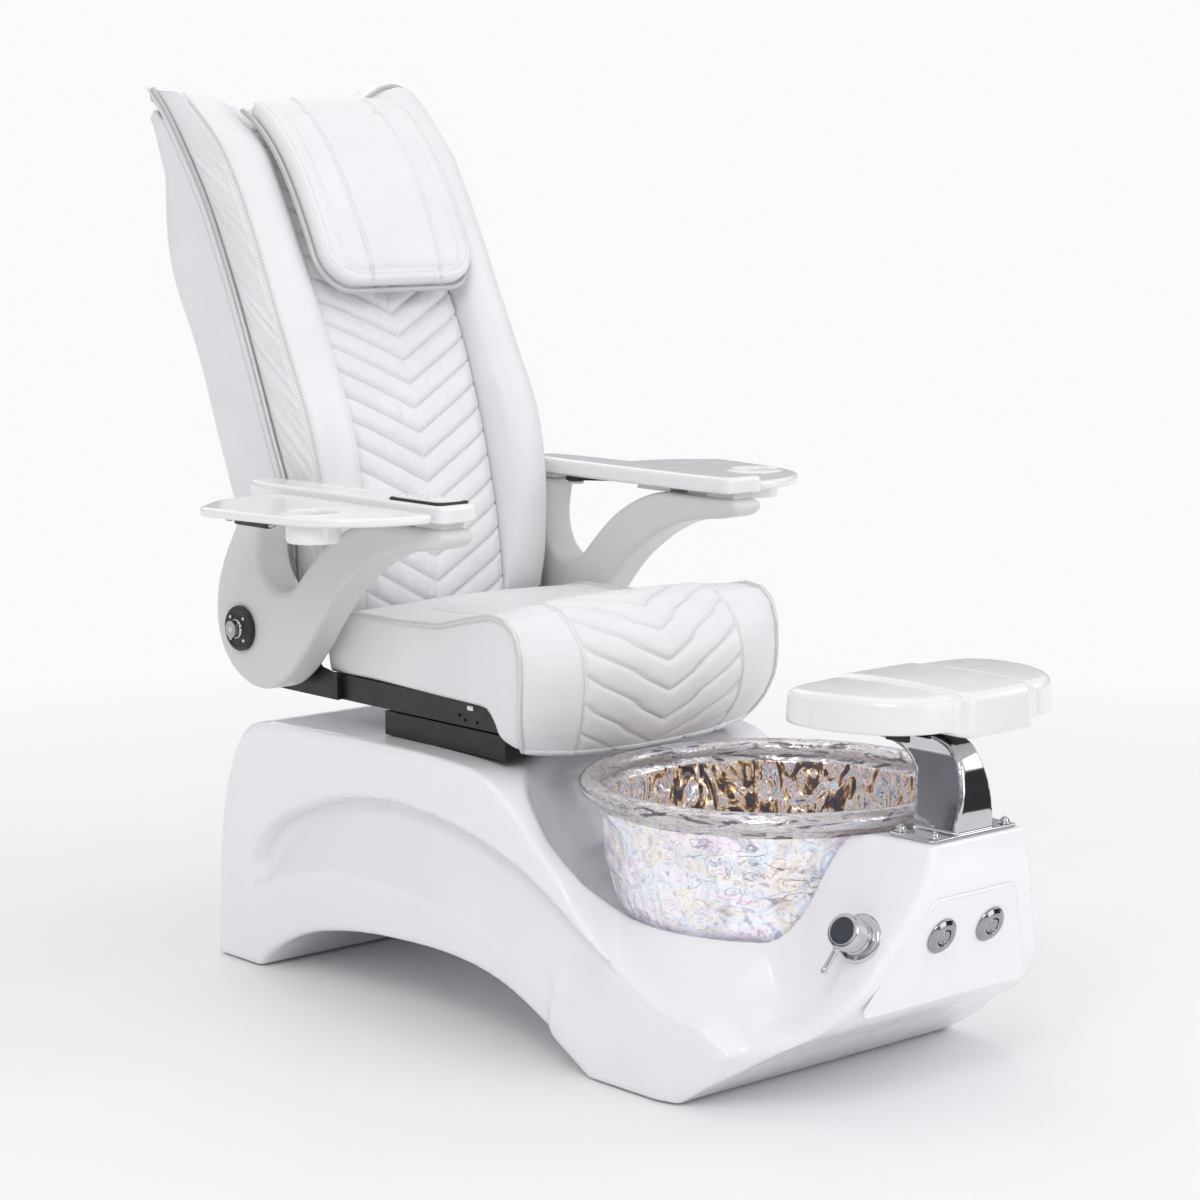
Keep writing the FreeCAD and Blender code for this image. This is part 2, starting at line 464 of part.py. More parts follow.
# ============================ ARMRESTS =====================================
ARM = [(410, 500), (445, 487), (490, 488), (535, 508), (568, 542), (584, 590), (580, 645), (560, 695), (532, 738), (512, 770), (505, 790),
       (446, 790), (456, 752), (459, 716), (448, 680), (425, 658), (396, 652), (366, 664), (338, 692), (300, 728), (262, 755), (215, 777), (170, 790),
       (-8, 790), (-18, 784), (-20, 774), (-8, 763), (22, 756), (75, 751), (130, 738), (185, 712), (250, 667), (295, 618), (338, 565), (375, 526)]
arm = yz(ARM, ARM_X0, ARM_X1).cut(cyl((200, ARM_PIVOT[0], ARM_PIVOT[1]), (1, 0, 0), ARM_PIN_R + RUN, 200))
node("armrest_left", arm)
node("armrest_right", mirror(arm))
PIN_TOP = 796.5
pinb = fuse(cyl((TRAY_PIVOT[0], TRAY_PIVOT[1], 786), (0, 0, 1), TRAY_PIN_R, 12), cyl((TRAY_PIVOT[0], TRAY_PIVOT[1], 783.5), (0, 0, 1), 14, 4))
brk = fuse(box(286, 328, 150, 230, 790.2, 797), box(286, 328, 450, 498, 790.2, 797), box(286, 328, -4, 60, 790.2, 797),
           box(286, 328, -6, 498, PIN_TOP, 799.8), pinb)
node("arm_bracket_left", brk)
node("arm_bracket_right", mirror(brk))
PADXY = [(262, -14), (330, -20), (339, -14), (340, 60), (340, 260), (337, 440), (326, 500), (276, 500), (268, 420), (260, 260), (257, 60)]
pad_l = xy(PADXY, PAD_Z0, PAD_Z1)
RC = (264, 328, 2, 132)     # remote control pocket
pad_r = mirror(pad_l).cut(box(-RC[1], -RC[0], RC[2], RC[3], 816, 840))
node("arm_pad_left", pad_l)
node("arm_pad_right", pad_r)
node("remote_control", box(-RC[1] + 1, -RC[0] - 1, RC[2] + 1, RC[3] - 1, 816, 831))
TRAY = [(342, -8), (380, -6), (424, 4), (470, 30), (505, 66), (526, 110), (540, 180), (556, 296), (548, 316), (480, 372), (430, 386), (342, 392)]
tray = xy(TRAY, 802, 816)
tray = tray.cut(cyl((CUP[0], CUP[1], 780), (0, 0, 1), 37, 60))
tongue = fuse(cyl((TRAY_PIVOT[0], TRAY_PIVOT[1], 789.5), (0, 0, 1), 18, 6), xy([(296, 388), (316, 413), (420, 372), (420, 320), (350, 320)], 789.5, 795.5))
tongue = tongue.fuse(xy([(352, 322), (420, 322), (420, 370), (352, 384)], 795.5, 802))
tongue = tongue.cut(cyl((TRAY_PIVOT[0], TRAY_PIVOT[1], 780), (0, 0, 1), TRAY_PIN_R + RUN, 40))
tongue = fuse(tongue)
node("tray_left", tray)
node("tray_right", mirror(tray))
node("tray_hinge_left", tongue)
node("tray_hinge_right", mirror(tongue))
cup = cyl((CUP[0], CUP[1], 772), (0, 0, 1), CUP_R, 30).cut(cyl((CUP[0], CUP[1], 775), (0, 0, 1), CUP_R - 4, 40))
node("cup_holder_left", cup)
node("cup_holder_right", mirror(cup))
apin = fuse(cyl((250, ARM_PIVOT[0], ARM_PIVOT[1]), (1, 0, 0), ARM_PIN_R, 104), cyl((EAR_X1, ARM_PIVOT[0], ARM_PIVOT[1]), (1, 0, 0), 24, 10.5),
            cyl((349.2, ARM_PIVOT[0], ARM_PIVOT[1]), (1, 0, 0), 14, 13))
node("arm_pivot_pins", apin, mirror(apin))
capd = tube((339.8, ARM_PIVOT[0], ARM_PIVOT[1]), (1, 0, 0), 36, ARM_PIN_R, 9)
node("arm_pivot_caps", capd, mirror(capd))

# ============================ EXPORT =======================================
for name, solids in NODES.items():
    moved = []
    for s in solids:
        c = s.copy()
        c.translate(V(0, -ORIGIN_Y, 0))
        moved.append(c)
    shape = moved[0] if len(moved) == 1 else Part.makeCompound(moved)
    shape.exportStep("parts/%s.step" % name)
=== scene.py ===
import bpy, bmesh, math, json
import numpy as np
from mathutils import Vector, Matrix


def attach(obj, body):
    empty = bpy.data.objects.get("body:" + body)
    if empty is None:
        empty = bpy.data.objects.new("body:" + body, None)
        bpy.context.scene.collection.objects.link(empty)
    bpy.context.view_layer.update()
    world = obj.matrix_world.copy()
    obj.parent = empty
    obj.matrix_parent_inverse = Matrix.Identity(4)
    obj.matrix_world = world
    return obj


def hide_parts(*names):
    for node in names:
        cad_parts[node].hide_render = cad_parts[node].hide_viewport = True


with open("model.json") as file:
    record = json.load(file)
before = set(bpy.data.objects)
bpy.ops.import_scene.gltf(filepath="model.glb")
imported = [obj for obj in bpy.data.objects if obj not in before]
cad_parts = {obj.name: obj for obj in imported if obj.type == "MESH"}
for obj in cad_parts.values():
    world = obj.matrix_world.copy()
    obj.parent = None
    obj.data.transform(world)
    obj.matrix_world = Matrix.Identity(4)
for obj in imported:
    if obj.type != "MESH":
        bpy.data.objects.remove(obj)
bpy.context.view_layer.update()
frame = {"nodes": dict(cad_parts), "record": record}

OY = 43.0                      # design y of the frame's origin, in mm
NODES = frame["nodes"]
scene = bpy.context.scene
rng = np.random.RandomState(7)
LAT = rng.rand(256, 256)


# ------------------------------------------------------------------ helpers
def m(p):
    """design millimetres -> row frame metres"""
    p = np.atleast_2d(np.asarray(p, float))
    return (p - np.array([0.0, OY, 0.0])) / 1000.0


def vnoise(x, y, seed=0):
    x = np.asarray(x, float) + seed * 17.31
    y = np.asarray(y, float) + seed * 9.77
    xi, yi = np.floor(x).astype(int), np.floor(y).astype(int)
    fx, fy = x - xi, y - yi
    fx, fy = fx * fx * (3 - 2 * fx), fy * fy * (3 - 2 * fy)
    a = LAT[xi % 256, yi % 256]; b = LAT[(xi + 1) % 256, yi % 256]
    c = LAT[xi % 256, (yi + 1) % 256]; d = LAT[(xi + 1) % 256, (yi + 1) % 256]
    return (a * (1 - fx) + b * fx) * (1 - fy) + (c * (1 - fx) + d * fx) * fy - 0.5


def sstep(a, b, x):
    t = np.clip((x - a) / (b - a), 0, 1)
    return t * t * (3 - 2 * t)


def catmull(pts, closed=False, n=12):
    P = np.asarray(pts, float)
    if closed:
        Q = np.vstack([P[-1], P, P[0], P[1]])
    else:
        Q = np.vstack([2 * P[0] - P[1], P, 2 * P[-1] - P[-2]])
    out = []
    for i in range(1, len(Q) - 2):
        p0, p1, p2, p3 = Q[i - 1], Q[i], Q[i + 1], Q[i + 2]
        d0, d1, d2 = (max(np.linalg.norm(b - a), 1e-6) ** 0.5 for a, b in ((p0, p1), (p1, p2), (p2, p3)))
        m1 = (p1 - p0) / d0 - (p2 - p0) / (d0 + d1) + (p2 - p1) / d1
        m2 = (p2 - p1) / d1 - (p3 - p1) / (d1 + d2) + (p3 - p2) / d2
        m1, m2 = m1 * d1, m2 * d1
        for k in range(n):
            t = k / n
            out.append((2 * t ** 3 - 3 * t ** 2 + 1) * p1 + (t ** 3 - 2 * t ** 2 + t) * m1 + (-2 * t ** 3 + 3 * t ** 2) * p2 + (t ** 3 - t ** 2) * m2)
    if not closed:
        out.append(P[-1])
    return np.array(out)


def resample(P, n=None, step=None):
    P = np.asarray(P, float)
    s = np.r_[0, np.cumsum(np.linalg.norm(np.diff(P, axis=0), axis=1))]
    if n is None:
        n = max(2, int(round(s[-1] / step)) + 1)
    q = np.linspace(0, s[-1], n)
    return np.stack([np.interp(q, s, P[:, k]) for k in range(P.shape[1])], -1), q


def arclen(P):
    return np.r_[0, np.cumsum(np.linalg.norm(np.diff(P, axis=0), axis=1))]


def sdf_poly(pts, Y, Z):
    P = np.asarray(pts, float); Q = np.roll(P, -1, 0)
    d2 = np.full(Y.shape, 1e18); ins = np.zeros(Y.shape, bool)
    for a, b in zip(P, Q):
        e = b - a
        L = e @ e
        if L < 1e-12:
            continue
        w0, w1 = Y - a[0], Z - a[1]
        t = np.clip((w0 * e[0] + w1 * e[1]) / L, 0, 1)
        d2 = np.minimum(d2, (w0 - e[0] * t) ** 2 + (w1 - e[1] * t) ** 2)
        c = ((a[1] <= Z) & (b[1] > Z)) | ((b[1] <= Z) & (a[1] > Z))
        if e[1] != 0:
            ins ^= c & (Y < a[0] + (Z - a[1]) * e[0] / e[1])
    return np.where(ins, -1, 1) * np.sqrt(d2)


def dist_line(pts, Y, Z):
    P = np.asarray(pts, float)
    d2 = np.full(Y.shape, 1e18)
    for a, b in zip(P[:-1], P[1:]):
        e = b - a
        w0, w1 = Y - a[0], Z - a[1]
        t = np.clip((w0 * e[0] + w1 * e[1]) / (e @ e + 1e-12), 0, 1)
        d2 = np.minimum(d2, (w0 - e[0] * t) ** 2 + (w1 - e[1] * t) ** 2)
    return np.sqrt(d2)


def rmax(a, b, r):
    """intersection with rounded edge of radius r"""
    return np.minimum(np.maximum(a, b), -r) + np.sqrt(np.maximum(a + r, 0) ** 2 + np.maximum(b + r, 0) ** 2)


def rmin(a, b, r):
    return -rmax(-a, -b, r)


def smin(a, b, k):
    h = np.clip(0.5 + 0.5 * (b - a) / k, 0, 1)
    return b * (1 - h) + a * h - k * h * (1 - h)


def smax(a, b, k):
    return -smin(-a, -b, k)


def surface_nets(F, lo, h):
    nx, ny, nz = F.shape
    S = F < 0
    cnt = np.zeros((nx - 1, ny - 1, nz - 1), np.int8)
    for i in (0, 1):
        for j in (0, 1):
            for k in (0, 1):
                cnt += S[i:nx - 1 + i, j:ny - 1 + j, k:nz - 1 + k]
    act = (cnt > 0) & (cnt < 8)
    I = np.argwhere(act)
    idx = -np.ones(act.shape, int); idx[act] = np.arange(len(I))
    acc = np.zeros((len(I), 3)); n = np.zeros(len(I))
    for ax in range(3):
        o = [a for a in range(3) if a != ax]
        for p in (0, 1):
            for q in (0, 1):
                off = np.zeros(3, int); off[o[0]] = p; off[o[1]] = q
                A = I + off
                B = A.copy(); B[:, ax] += 1
                f0 = F[A[:, 0], A[:, 1], A[:, 2]]; f1 = F[B[:, 0], B[:, 1], B[:, 2]]
                k = (f0 < 0) != (f1 < 0)
                t = f0[k] / (f0[k] - f1[k])
                pos = np.tile(off.astype(float), (k.sum(), 1)); pos[:, ax] += t
                acc[k] += pos; n[k] += 1
    V = np.asarray(lo, float) + (I + acc / n[:, None]) * h
    quads = []
    for ax in range(3):
        o = [a for a in range(3) if a != ax]
        sl0 = [slice(None)] * 3; sl1 = [slice(None)] * 3
        sl0[ax] = slice(0, -1); sl1[ax] = slice(1, None)
        d = S[tuple(sl0)] != S[tuple(sl1)]
        E = np.argwhere(d)
        ok = (E[:, o[0]] >= 1) & (E[:, o[1]] >= 1) & (E[:, o[0]] <= F.shape[o[0]] - 2) & (E[:, o[1]] <= F.shape[o[1]] - 2)
        E = E[ok]
        c = []
        for da, db in ((0, 0), (-1, 0), (-1, -1), (0, -1)):
            C = E.copy(); C[:, o[0]] += da; C[:, o[1]] += db
            c.append(idx[C[:, 0], C[:, 1], C[:, 2]])
        q = np.stack(c, -1)
        s = S[E[:, 0], E[:, 1], E[:, 2]]
        flip = s if ax != 1 else ~s
        q[flip] = q[flip][:, ::-1]
        quads.append(q[:, ::-1])
    return V, np.vstack(quads)


def relax(V, Q, it=2, lam=0.5, mu=-0.52):
    E = np.vstack([Q[:, [0, 1]], Q[:, [1, 2]], Q[:, [2, 3]], Q[:, [3, 0]]])
    n = np.bincount(E[:, 0], minlength=len(V)) + np.bincount(E[:, 1], minlength=len(V))
    for i in range(it):
        for f in (lam, mu):
            acc = np.zeros_like(V)
            for k in range(3):
                acc[:, k] = np.bincount(E[:, 0], V[E[:, 1], k], len(V)) + np.bincount(E[:, 1], V[E[:, 0], k], len(V))
            V = V + f * (acc / np.maximum(n, 1)[:, None] - V)
    return V


def make(name, V, F, mat, body, replaces=(), slot=None, smooth=True, metres=False):
    me = bpy.data.meshes.new(name)
    co = np.asarray(V, float) if metres else m(V)
    if isinstance(F, np.ndarray):
        F = F.tolist()
    me.from_pydata(co.tolist(), [], F)
    me.validate()
    me.update()
    if smooth:
        me.polygons.foreach_set("use_smooth", [True] * len(me.polygons))
    o = bpy.data.objects.new(name, me)
    scene.collection.objects.link(o)
    me.materials.append(mat)
    fix_normals(o)
    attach(o, body)
    if replaces:
        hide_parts(*replaces)
    return o


def fix_normals(o):
    bm = bmesh.new(); bm.from_mesh(o.data)
    bmesh.ops.recalc_face_normals(bm, faces=bm.faces)
    bm.to_mesh(o.data); bm.free()


def join_meshes(parts):
    V, F, n = [], [], 0
    for v, f in parts:
        V.append(np.asarray(v, float)); F += [[i + n for i in q] for q in (f.tolist() if isinstance(f, np.ndarray) else f)]
        n += len(v)
    return np.vstack(V), F


def grid(lo, hi, h):
    ax = [np.arange(lo[i] - 2 * h, hi[i] + 2.5 * h, h) for i in range(3)]
    return ax, np.meshgrid(*ax, indexing="ij")


def sdf_piece(name, fn, lo, hi, h, mat, body, it=1, **kw):
    ax, (X, Y, Z) = grid(lo, hi, h)
    V, Q = surface_nets(fn(X, Y, Z), [a[0] for a in ax], h)
    if it:
        V = relax(V, Q, it)
    return make(name, V, Q, mat, body, **kw)


def sweep(P, r, n=12, closed=False, up=(0, 0, 1)):
    P = np.asarray(P, float)
    N = len(P)
    if closed:
        T = np.roll(P, -1, 0) - np.roll(P, 1, 0)
    else:
        T = np.gradient(P, axis=0)
    T /= np.linalg.norm(T, axis=1)[:, None]
    u = np.asarray(up, float)
    if abs(T[0] @ u) > 0.9:
        u = np.array([1.0, 0, 0])
    u = u - T[0] * (T[0] @ u); u /= np.linalg.norm(u)
    U = [u]
    for i in range(1, N):
        u = U[-1] - T[i] * (T[i] @ U[-1]); u /= np.linalg.norm(u); U.append(u)
    U = np.array(U); W = np.cross(T, U)
    rr = np.broadcast_to(np.asarray(r, float), (N,))
    a = np.linspace(0, 2 * np.pi, n, endpoint=False)
    V = (P[:, None] + rr[:, None, None] * (np.cos(a)[None, :, None] * U[:, None] + np.sin(a)[None, :, None] * W[:, None])).reshape(-1, 3)
    F = []
    for i in range(N if closed else N - 1):
        j = (i + 1) % N
        for k in range(n):
            l = (k + 1) % n
            F.append([i * n + k, i * n + l, j * n + l, j * n + k])
    if not closed:
        for i, s in ((0, 1), (N - 1, -1)):
            c = len(V)
            tip = P[i] - T[i] * rr[i] * 0.6 * s
            V = np.vstack([V, tip])
            for k in range(n):
                l = (k + 1) % n
                F.append([c, i * n + l, i * n + k] if s > 0 else [c, i * n + k, i * n + l])
    return V, F


def lathe(prof, origin, axis, n=64, jitter=None):
    """prof: list of (r, a) along the axis; closes at r=0 ends"""
    P = np.asarray(prof, float)
    A = np.asarray(axis, float); A /= np.linalg.norm(A)
    u = np.cross(A, [0, 0, 1.0])
    if np.linalg.norm(u) < 0.1:
        u = np.array([1.0, 0, 0])
    u /= np.linalg.norm(u); w = np.cross(A, u)
    th = np.linspace(0, 2 * np.pi, n, endpoint=False)
    V, F, rows = [], [], []
    for r, a in P:
        if r < 1e-6:
            rows.append([len(V)]); V.append(np.asarray(origin) + A * a)
        else:
            rows.append(list(range(len(V), len(V) + n)))
            for t in th:
                V.append(np.asarray(origin) + A * a + r * (math.cos(t) * u + math.sin(t) * w))
    closed = len(rows[0]) > 1 and len(rows[-1]) > 1
    R = rows + ([rows[0]] if closed else [])
    for a, b in zip(R[:-1], R[1:]):
        for k in range(n):
            l = (k + 1) % n
            if len(a) == 1 and len(b) == 1:
                continue
            if len(a) == 1:
                F.append([a[0], b[k], b[l]])
            elif len(b) == 1:
                F.append([a[k], b[0], a[l]])
            else:
                F.append([a[k], b[k], b[l], a[l]])
    return np.array(V), F


def round_prof(pts, r, n=4):
    """rounds the corners of an open (r, a) profile"""
    P = [np.array(p, float) for p in pts]
    out = [P[0]]
    for a, b, c in zip(P[:-2], P[1:-1], P[2:]):
        d1, d2 = a - b, c - b
        l1, l2 = np.linalg.norm(d1), np.linalg.norm(d2)
        k = min(r, l1 * 0.45, l2 * 0.45)
        p, q = b + d1 / l1 * k, b + d2 / l2 * k
        for i in range(n + 1):
            t = i / n
            out.append((1 - t) ** 2 * p + 2 * t * (1 - t) * b + t * t * q)
    out.append(P[-1])
    return [tuple(x) for x in out]


# ---------------------------------------------------------------- materials
def mat_new(name):
    mt = bpy.data.materials.new(name); mt.use_nodes = True
    nt = mt.node_tree; nt.nodes.clear()
    out = nt.nodes.new("ShaderNodeOutputMaterial")
    b = nt.nodes.new("ShaderNodeBsdfPrincipled")
    nt.links.new(b.outputs[0], out.inputs[0])
    tc = nt.nodes.new("ShaderNodeTexCoord")
    return mt, nt, b, tc.outputs["Object"], out


def noise(nt, vec, scale, detail=3, rough=0.5, dist=0.0):
    n = nt.nodes.new("ShaderNodeTexNoise"); n.inputs["Scale"].default_value = scale
    n.inputs["Detail"].default_value = detail; n.inputs["Roughness"].default_value = rough
    n.inputs["Distortion"].default_value = dist
    nt.links.new(vec, n.inputs["Vector"]); return n.outputs["Fac"]


def ramp(nt, fac, stops):
    r = nt.nodes.new("ShaderNodeValToRGB")
    while len(r.color_ramp.elements) < len(stops):
        r.color_ramp.elements.new(0.5)
    for e, (p, c) in zip(r.color_ramp.elements, stops):
        e.position = p; e.color = (*c, 1) if len(c) == 3 else c
    nt.links.new(fac, r.inputs[0]); return r.outputs[0]


def maprange(nt, fac, a, b, c, d):
    r = nt.nodes.new("ShaderNodeMapRange")
    for i, v in zip((1, 2, 3, 4), (a, b, c, d)):
        r.inputs[i].default_value = v
    nt.links.new(fac, r.inputs[0]); return r.outputs[0]


def bump(nt, h, strength, dist, prev=None):
    b = nt.nodes.new("ShaderNodeBump"); b.inputs["Strength"].default_value = strength
    b.inputs["Distance"].default_value = dist
    nt.links.new(h, b.inputs["Height"])
    if prev is not None:
        nt.links.new(prev, b.inputs["Normal"])
    return b.outputs[0]


def scaled(c, k):
    return tuple(min(1, max(0, x * k)) for x in c)


def mat_leather(name, col, rough=0.42, grain=1.0):
    mt, nt, b, vec, _ = mat_new(name)
    nt.links.new(ramp(nt, noise(nt, vec, 9, 4), [(0.3, scaled(col, 0.965)), (0.7, scaled(col, 1.02))]), b.inputs["Base Color"])
    nt.links.new(maprange(nt, noise(nt, vec, 60, 3), 0.3, 0.7, rough - 0.05, rough + 0.07), b.inputs["Roughness"])
    v = nt.nodes.new("ShaderNodeTexVoronoi"); v.feature = "DISTANCE_TO_EDGE"; v.inputs["Scale"].default_value = 620
    nt.links.new(vec, v.inputs["Vector"])
    n1 = bump(nt, v.outputs["Distance"], 0.10 * grain, 0.0004)
    n2 = bump(nt, noise(nt, vec, 1500, 2), 0.06 * grain, 0.0002, n1)
    n3 = bump(nt, noise(nt, vec, 70, 3, 0.55), 0.10 * grain, 0.0016, n2)
    nt.links.new(n3, b.inputs["Normal"])
    b.inputs["Sheen Weight"].default_value = 0.15
    b.inputs["Sheen Roughness"].default_value = 0.4
    b.inputs["Coat Weight"].default_value = 0.12
    b.inputs["Coat Roughness"].default_value = 0.3
    b.inputs["Specular IOR Level"].default_value = 0.4
    return mt


def mat_gloss(name, col, rough=0.16, coat=0.5, peel=0.03, var=0.02):
    mt, nt, b, vec, _ = mat_new(name)
    nt.links.new(ramp(nt, noise(nt, vec, 5, 5), [(0.3, scaled(col, 1 - var)), (0.7, scaled(col, 1 + var * 0.5))]), b.inputs["Base Color"])
    nt.links.new(maprange(nt, noise(nt, vec, 35, 4), 0.3, 0.7, rough - 0.03, rough + 0.05), b.inputs["Roughness"])
    n1 = bump(nt, noise(nt, vec, 90, 2), peel, 0.001)
    n2 = bump(nt, noise(nt, vec, 900, 2), peel * 0.8, 0.0002, n1)
    nt.links.new(n2, b.inputs["Normal"])
    b.inputs["Coat Weight"].default_value = coat
    b.inputs["Coat Roughness"].default_value = 0.04
    return mt


def mat_metal(name, col, rough=0.08, brush=0.0):
    mt, nt, b, vec, _ = mat_new(name)
    b.inputs["Metallic"].default_value = 1.0
    nt.links.new(ramp(nt, noise(nt, vec, 14, 4), [(0.3, scaled(col, 0.93)), (0.7, scaled(col, 1.04))]), b.inputs["Base Color"])
    nt.links.new(maprange(nt, noise(nt, vec, 45, 5, 0.6), 0.3, 0.75, rough * 0.7, rough * 1.6), b.inputs["Roughness"])
    nt.links.new(bump(nt, noise(nt, vec, 260, 3), 0.02 + brush, 0.0003), b.inputs["Normal"])
    return mt


def mat_silver(name, col):
    """soft silver-grey cord cover"""
    mt = mat_leather(name, col, 0.32, 0.5)
    b = [n for n in mt.node_tree.nodes if n.type == "BSDF_PRINCIPLED"][0]
    b.inputs["Metallic"].default_value = 0.35; b.inputs["Coat Weight"].default_value = 0.4
    return mt


def mat_black(name, col=(0.012, 0.012, 0.014), rough=0.38, tex=0.12):
    mt, nt, b, vec, _ = mat_new(name)
    nt.links.new(ramp(nt, noise(nt, vec, 20, 5), [(0.3, scaled(col, 0.8)), (0.75, scaled(col, 1.6))]), b.inputs["Base Color"])
    nt.links.new(maprange(nt, noise(nt, vec, 60, 5), 0.3, 0.7, rough - 0.06, rough + 0.12), b.inputs["Roughness"])
    nt.links.new(bump(nt, noise(nt, vec, 1100, 2), tex, 0.0003), b.inputs["Normal"])
    return mt


def mat_glass(kind):
    """iridescent hammered glass: body, inner face (strong streaks) and clear rim; body and inner face carry a painted
    reflection in their colour, and all three carry a painted glow
    """
    mt, nt, b, vec, out = mat_new("pearl_glass_" + kind)
    def mapped(sx, sy, sz):
        mp = nt.nodes.new("ShaderNodeMapping"); mp.inputs["Scale"].default_value = (sx, sy, sz)
        nt.links.new(vec, mp.inputs[0]); return mp.outputs[0]
    def mixc(f, c1, c2, mode="MIX"):
        mx = nt.nodes.new("ShaderNodeMix"); mx.data_type = "RGBA"; mx.blend_type = mode
        for i, v in ((0, f), (6, c1), (7, c2)):
            if isinstance(v, (int, float)):
                mx.inputs[i].default_value = v
            elif isinstance(v, tuple):
                mx.inputs[i].default_value = (*v, 1)
            else:
                nt.links.new(v, mx.inputs[i])
        return mx.outputs[2]
    def spread(f, shift):
        return maprange(nt, f, 0.30 + shift, 0.70 + shift, 0.0, 1.0)
    tcn = nt.nodes.new("ShaderNodeTexCoord")
    lay = nt.nodes.new("ShaderNodeLayerWeight"); lay.inputs[0].default_value = 0.4
    add = nt.nodes.new("ShaderNodeMath"); add.operation = "MULTIPLY_ADD"
    nt.links.new(lay.outputs["Facing"], add.inputs[0]); add.inputs[1].default_value = 0.22
    W = (1.0, 1.0, 1.0)
    if kind == "body":
        nt.links.new(noise(nt, mapped(1, 1, 1.2), 7, 2, 0.5, 1.6), add.inputs[2])
        col = ramp(nt, add.outputs[0], [(0.30, (0.72, 0.68, 0.97)), (0.38, (0.97, 0.97, 1.0)), (0.46, (0.97, 0.86, 0.97)), (0.51, (0.98, 0.98, 1.0)), (0.56, (0.82, 0.93, 1.0)),
                                        (0.60, (0.98, 0.98, 1.0)), (0.64, (1.0, 0.93, 0.82)), (0.69, (0.98, 0.97, 1.0)), (0.78, (0.84, 0.78, 1.0)), (0.9, (0.97, 0.98, 1.0))])
        vein = noise(nt, mapped(1, 1, 2.6), 13, 1, 0.5, 2.2)
        vm = ramp(nt, vein, [(0.0, W), (0.400, W), (0.414, (0.07, 0.06, 0.09)), (0.430, (0.16, 0.11, 0.12)), (0.442, (0.78, 0.52, 0.34)), (0.458, W), (0.585, W), (0.600, (0.22, 0.17, 0.24)), (0.612, (0.8, 0.66, 0.56)), (0.622, W), (1.0, W)])
        dot = nt.nodes.new("ShaderNodeVectorMath"); dot.operation = "DOT_PRODUCT"; dot.inputs[1].default_value = (0.743, -0.669, 0.55)
        nt.links.new(vec, dot.inputs[0])
        pa = nt.nodes.new("ShaderNodeMath"); pa.operation = "MULTIPLY"; pa.use_clamp = True
        nt.links.new(maprange(nt, dot.outputs["Value"], 0.30, 0.50, 0.22, 1.0), pa.inputs[0])
        nt.links.new(maprange(nt, noise(nt, vec, 5.5, 2), 0.40, 0.52, 0.0, 1.0), pa.inputs[1])
        patch = pa.outputs[0]
        col = mixc(patch, col, vm, "MULTIPLY")
        # painted reflection: noise on the reflection direction darkens and tints the body colour by view angle
        painted_reflection = ramp(nt, spread(noise(nt, tcn.outputs["Reflection"], 2.0, 2, 0.55, 1.0), 0.0), [(0.10, (0.40, 0.36, 0.50)), (0.24, (0.80, 0.78, 0.95)), (0.38, (1, 1, 1)), (0.66, (1, 1, 1)), (0.76, (0.94, 0.86, 0.90)), (0.86, (0.60, 0.52, 0.58)), (0.94, (1, 1, 1))])
        col = mixc(0.62, col, painted_reflection, "MULTIPLY")
        tr, em, metal = (0.06, 0.22), 0.15, 0.42
    elif kind == "inside":
        nt.links.new(noise(nt, mapped(1, 1, 0.5), 27, 3, 0.6, 2.2), add.inputs[2])
        col = ramp(nt, spread(add.outputs[0], 0.10), [(0.06, (0.05, 0.04, 0.06)), (0.15, (0.34, 0.17, 0.06)), (0.22, (0.90, 0.62, 0.26)), (0.29, (0.98, 0.94, 0.90)), (0.355, (0.95, 0.93, 0.97)), (0.375, (0.14, 0.10, 0.14)), (0.41, (0.93, 0.58, 0.60)), (0.49, (0.97, 0.97, 1.0)),
                                        (0.56, (0.30, 0.62, 0.68)), (0.62, (0.96, 0.97, 1.0)), (0.68, (0.52, 0.40, 0.78)), (0.73, (0.08, 0.07, 0.10)), (0.80, (0.95, 0.74, 0.40)), (0.90, (0.98, 0.98, 1.0))])
        # painted reflection: noise on the reflection direction darkens and tints the inner face colour by view angle
        painted_reflection = ramp(nt, spread(noise(nt, tcn.outputs["Reflection"], 3.2, 3, 0.6, 1.5), 0.0), [(0.16, (0.12, 0.10, 0.13)), (0.28, (0.90, 0.86, 0.90)), (0.52, (1, 1, 1)), (0.68, (1.0, 0.88, 0.70)), (0.77, (0.34, 0.25, 0.25)), (0.85, (1, 1, 1))])
        col = mixc(0.55, col, painted_reflection, "MULTIPLY")
        tr, em, metal = (0.03, 0.15), 0.09, 0.6
    else:
        nt.links.new(noise(nt, mapped(1, 1, 5.0), 16, 3, 0.6, 1.2), add.inputs[2])
        col = ramp(nt, spread(add.outputs[0], 0.08), [(0.10, (0.10, 0.09, 0.11)), (0.22, (0.55, 0.50, 0.54)), (0.32, (0.97, 0.97, 0.99)), (0.44, (0.66, 0.62, 0.72)), (0.50, (0.98, 0.97, 0.97)),
                                        (0.60, (0.70, 0.60, 0.48)), (0.67, (0.98, 0.98, 1.0)), (0.78, (0.20, 0.17, 0.21)), (0.86, (0.95, 0.95, 0.98))])
        tr, em, metal = (0.25, 0.5), 0.03, 0.55
    n1 = bump(nt, noise(nt, mapped(1, 1, 0.7 if kind != "rim" else 3.0), 52, 1, 0.5, 1.4), 0.55 if kind != "rim" else 0.3, 0.004)
    n2 = bump(nt, noise(nt, vec, 140, 1, 0.5, 0.8), 0.25, 0.0012, n1)
    b.inputs["Metallic"].default_value = metal
    b.inputs["Roughness"].default_value = 0.10
    b.inputs["Coat Weight"].default_value = 0.8
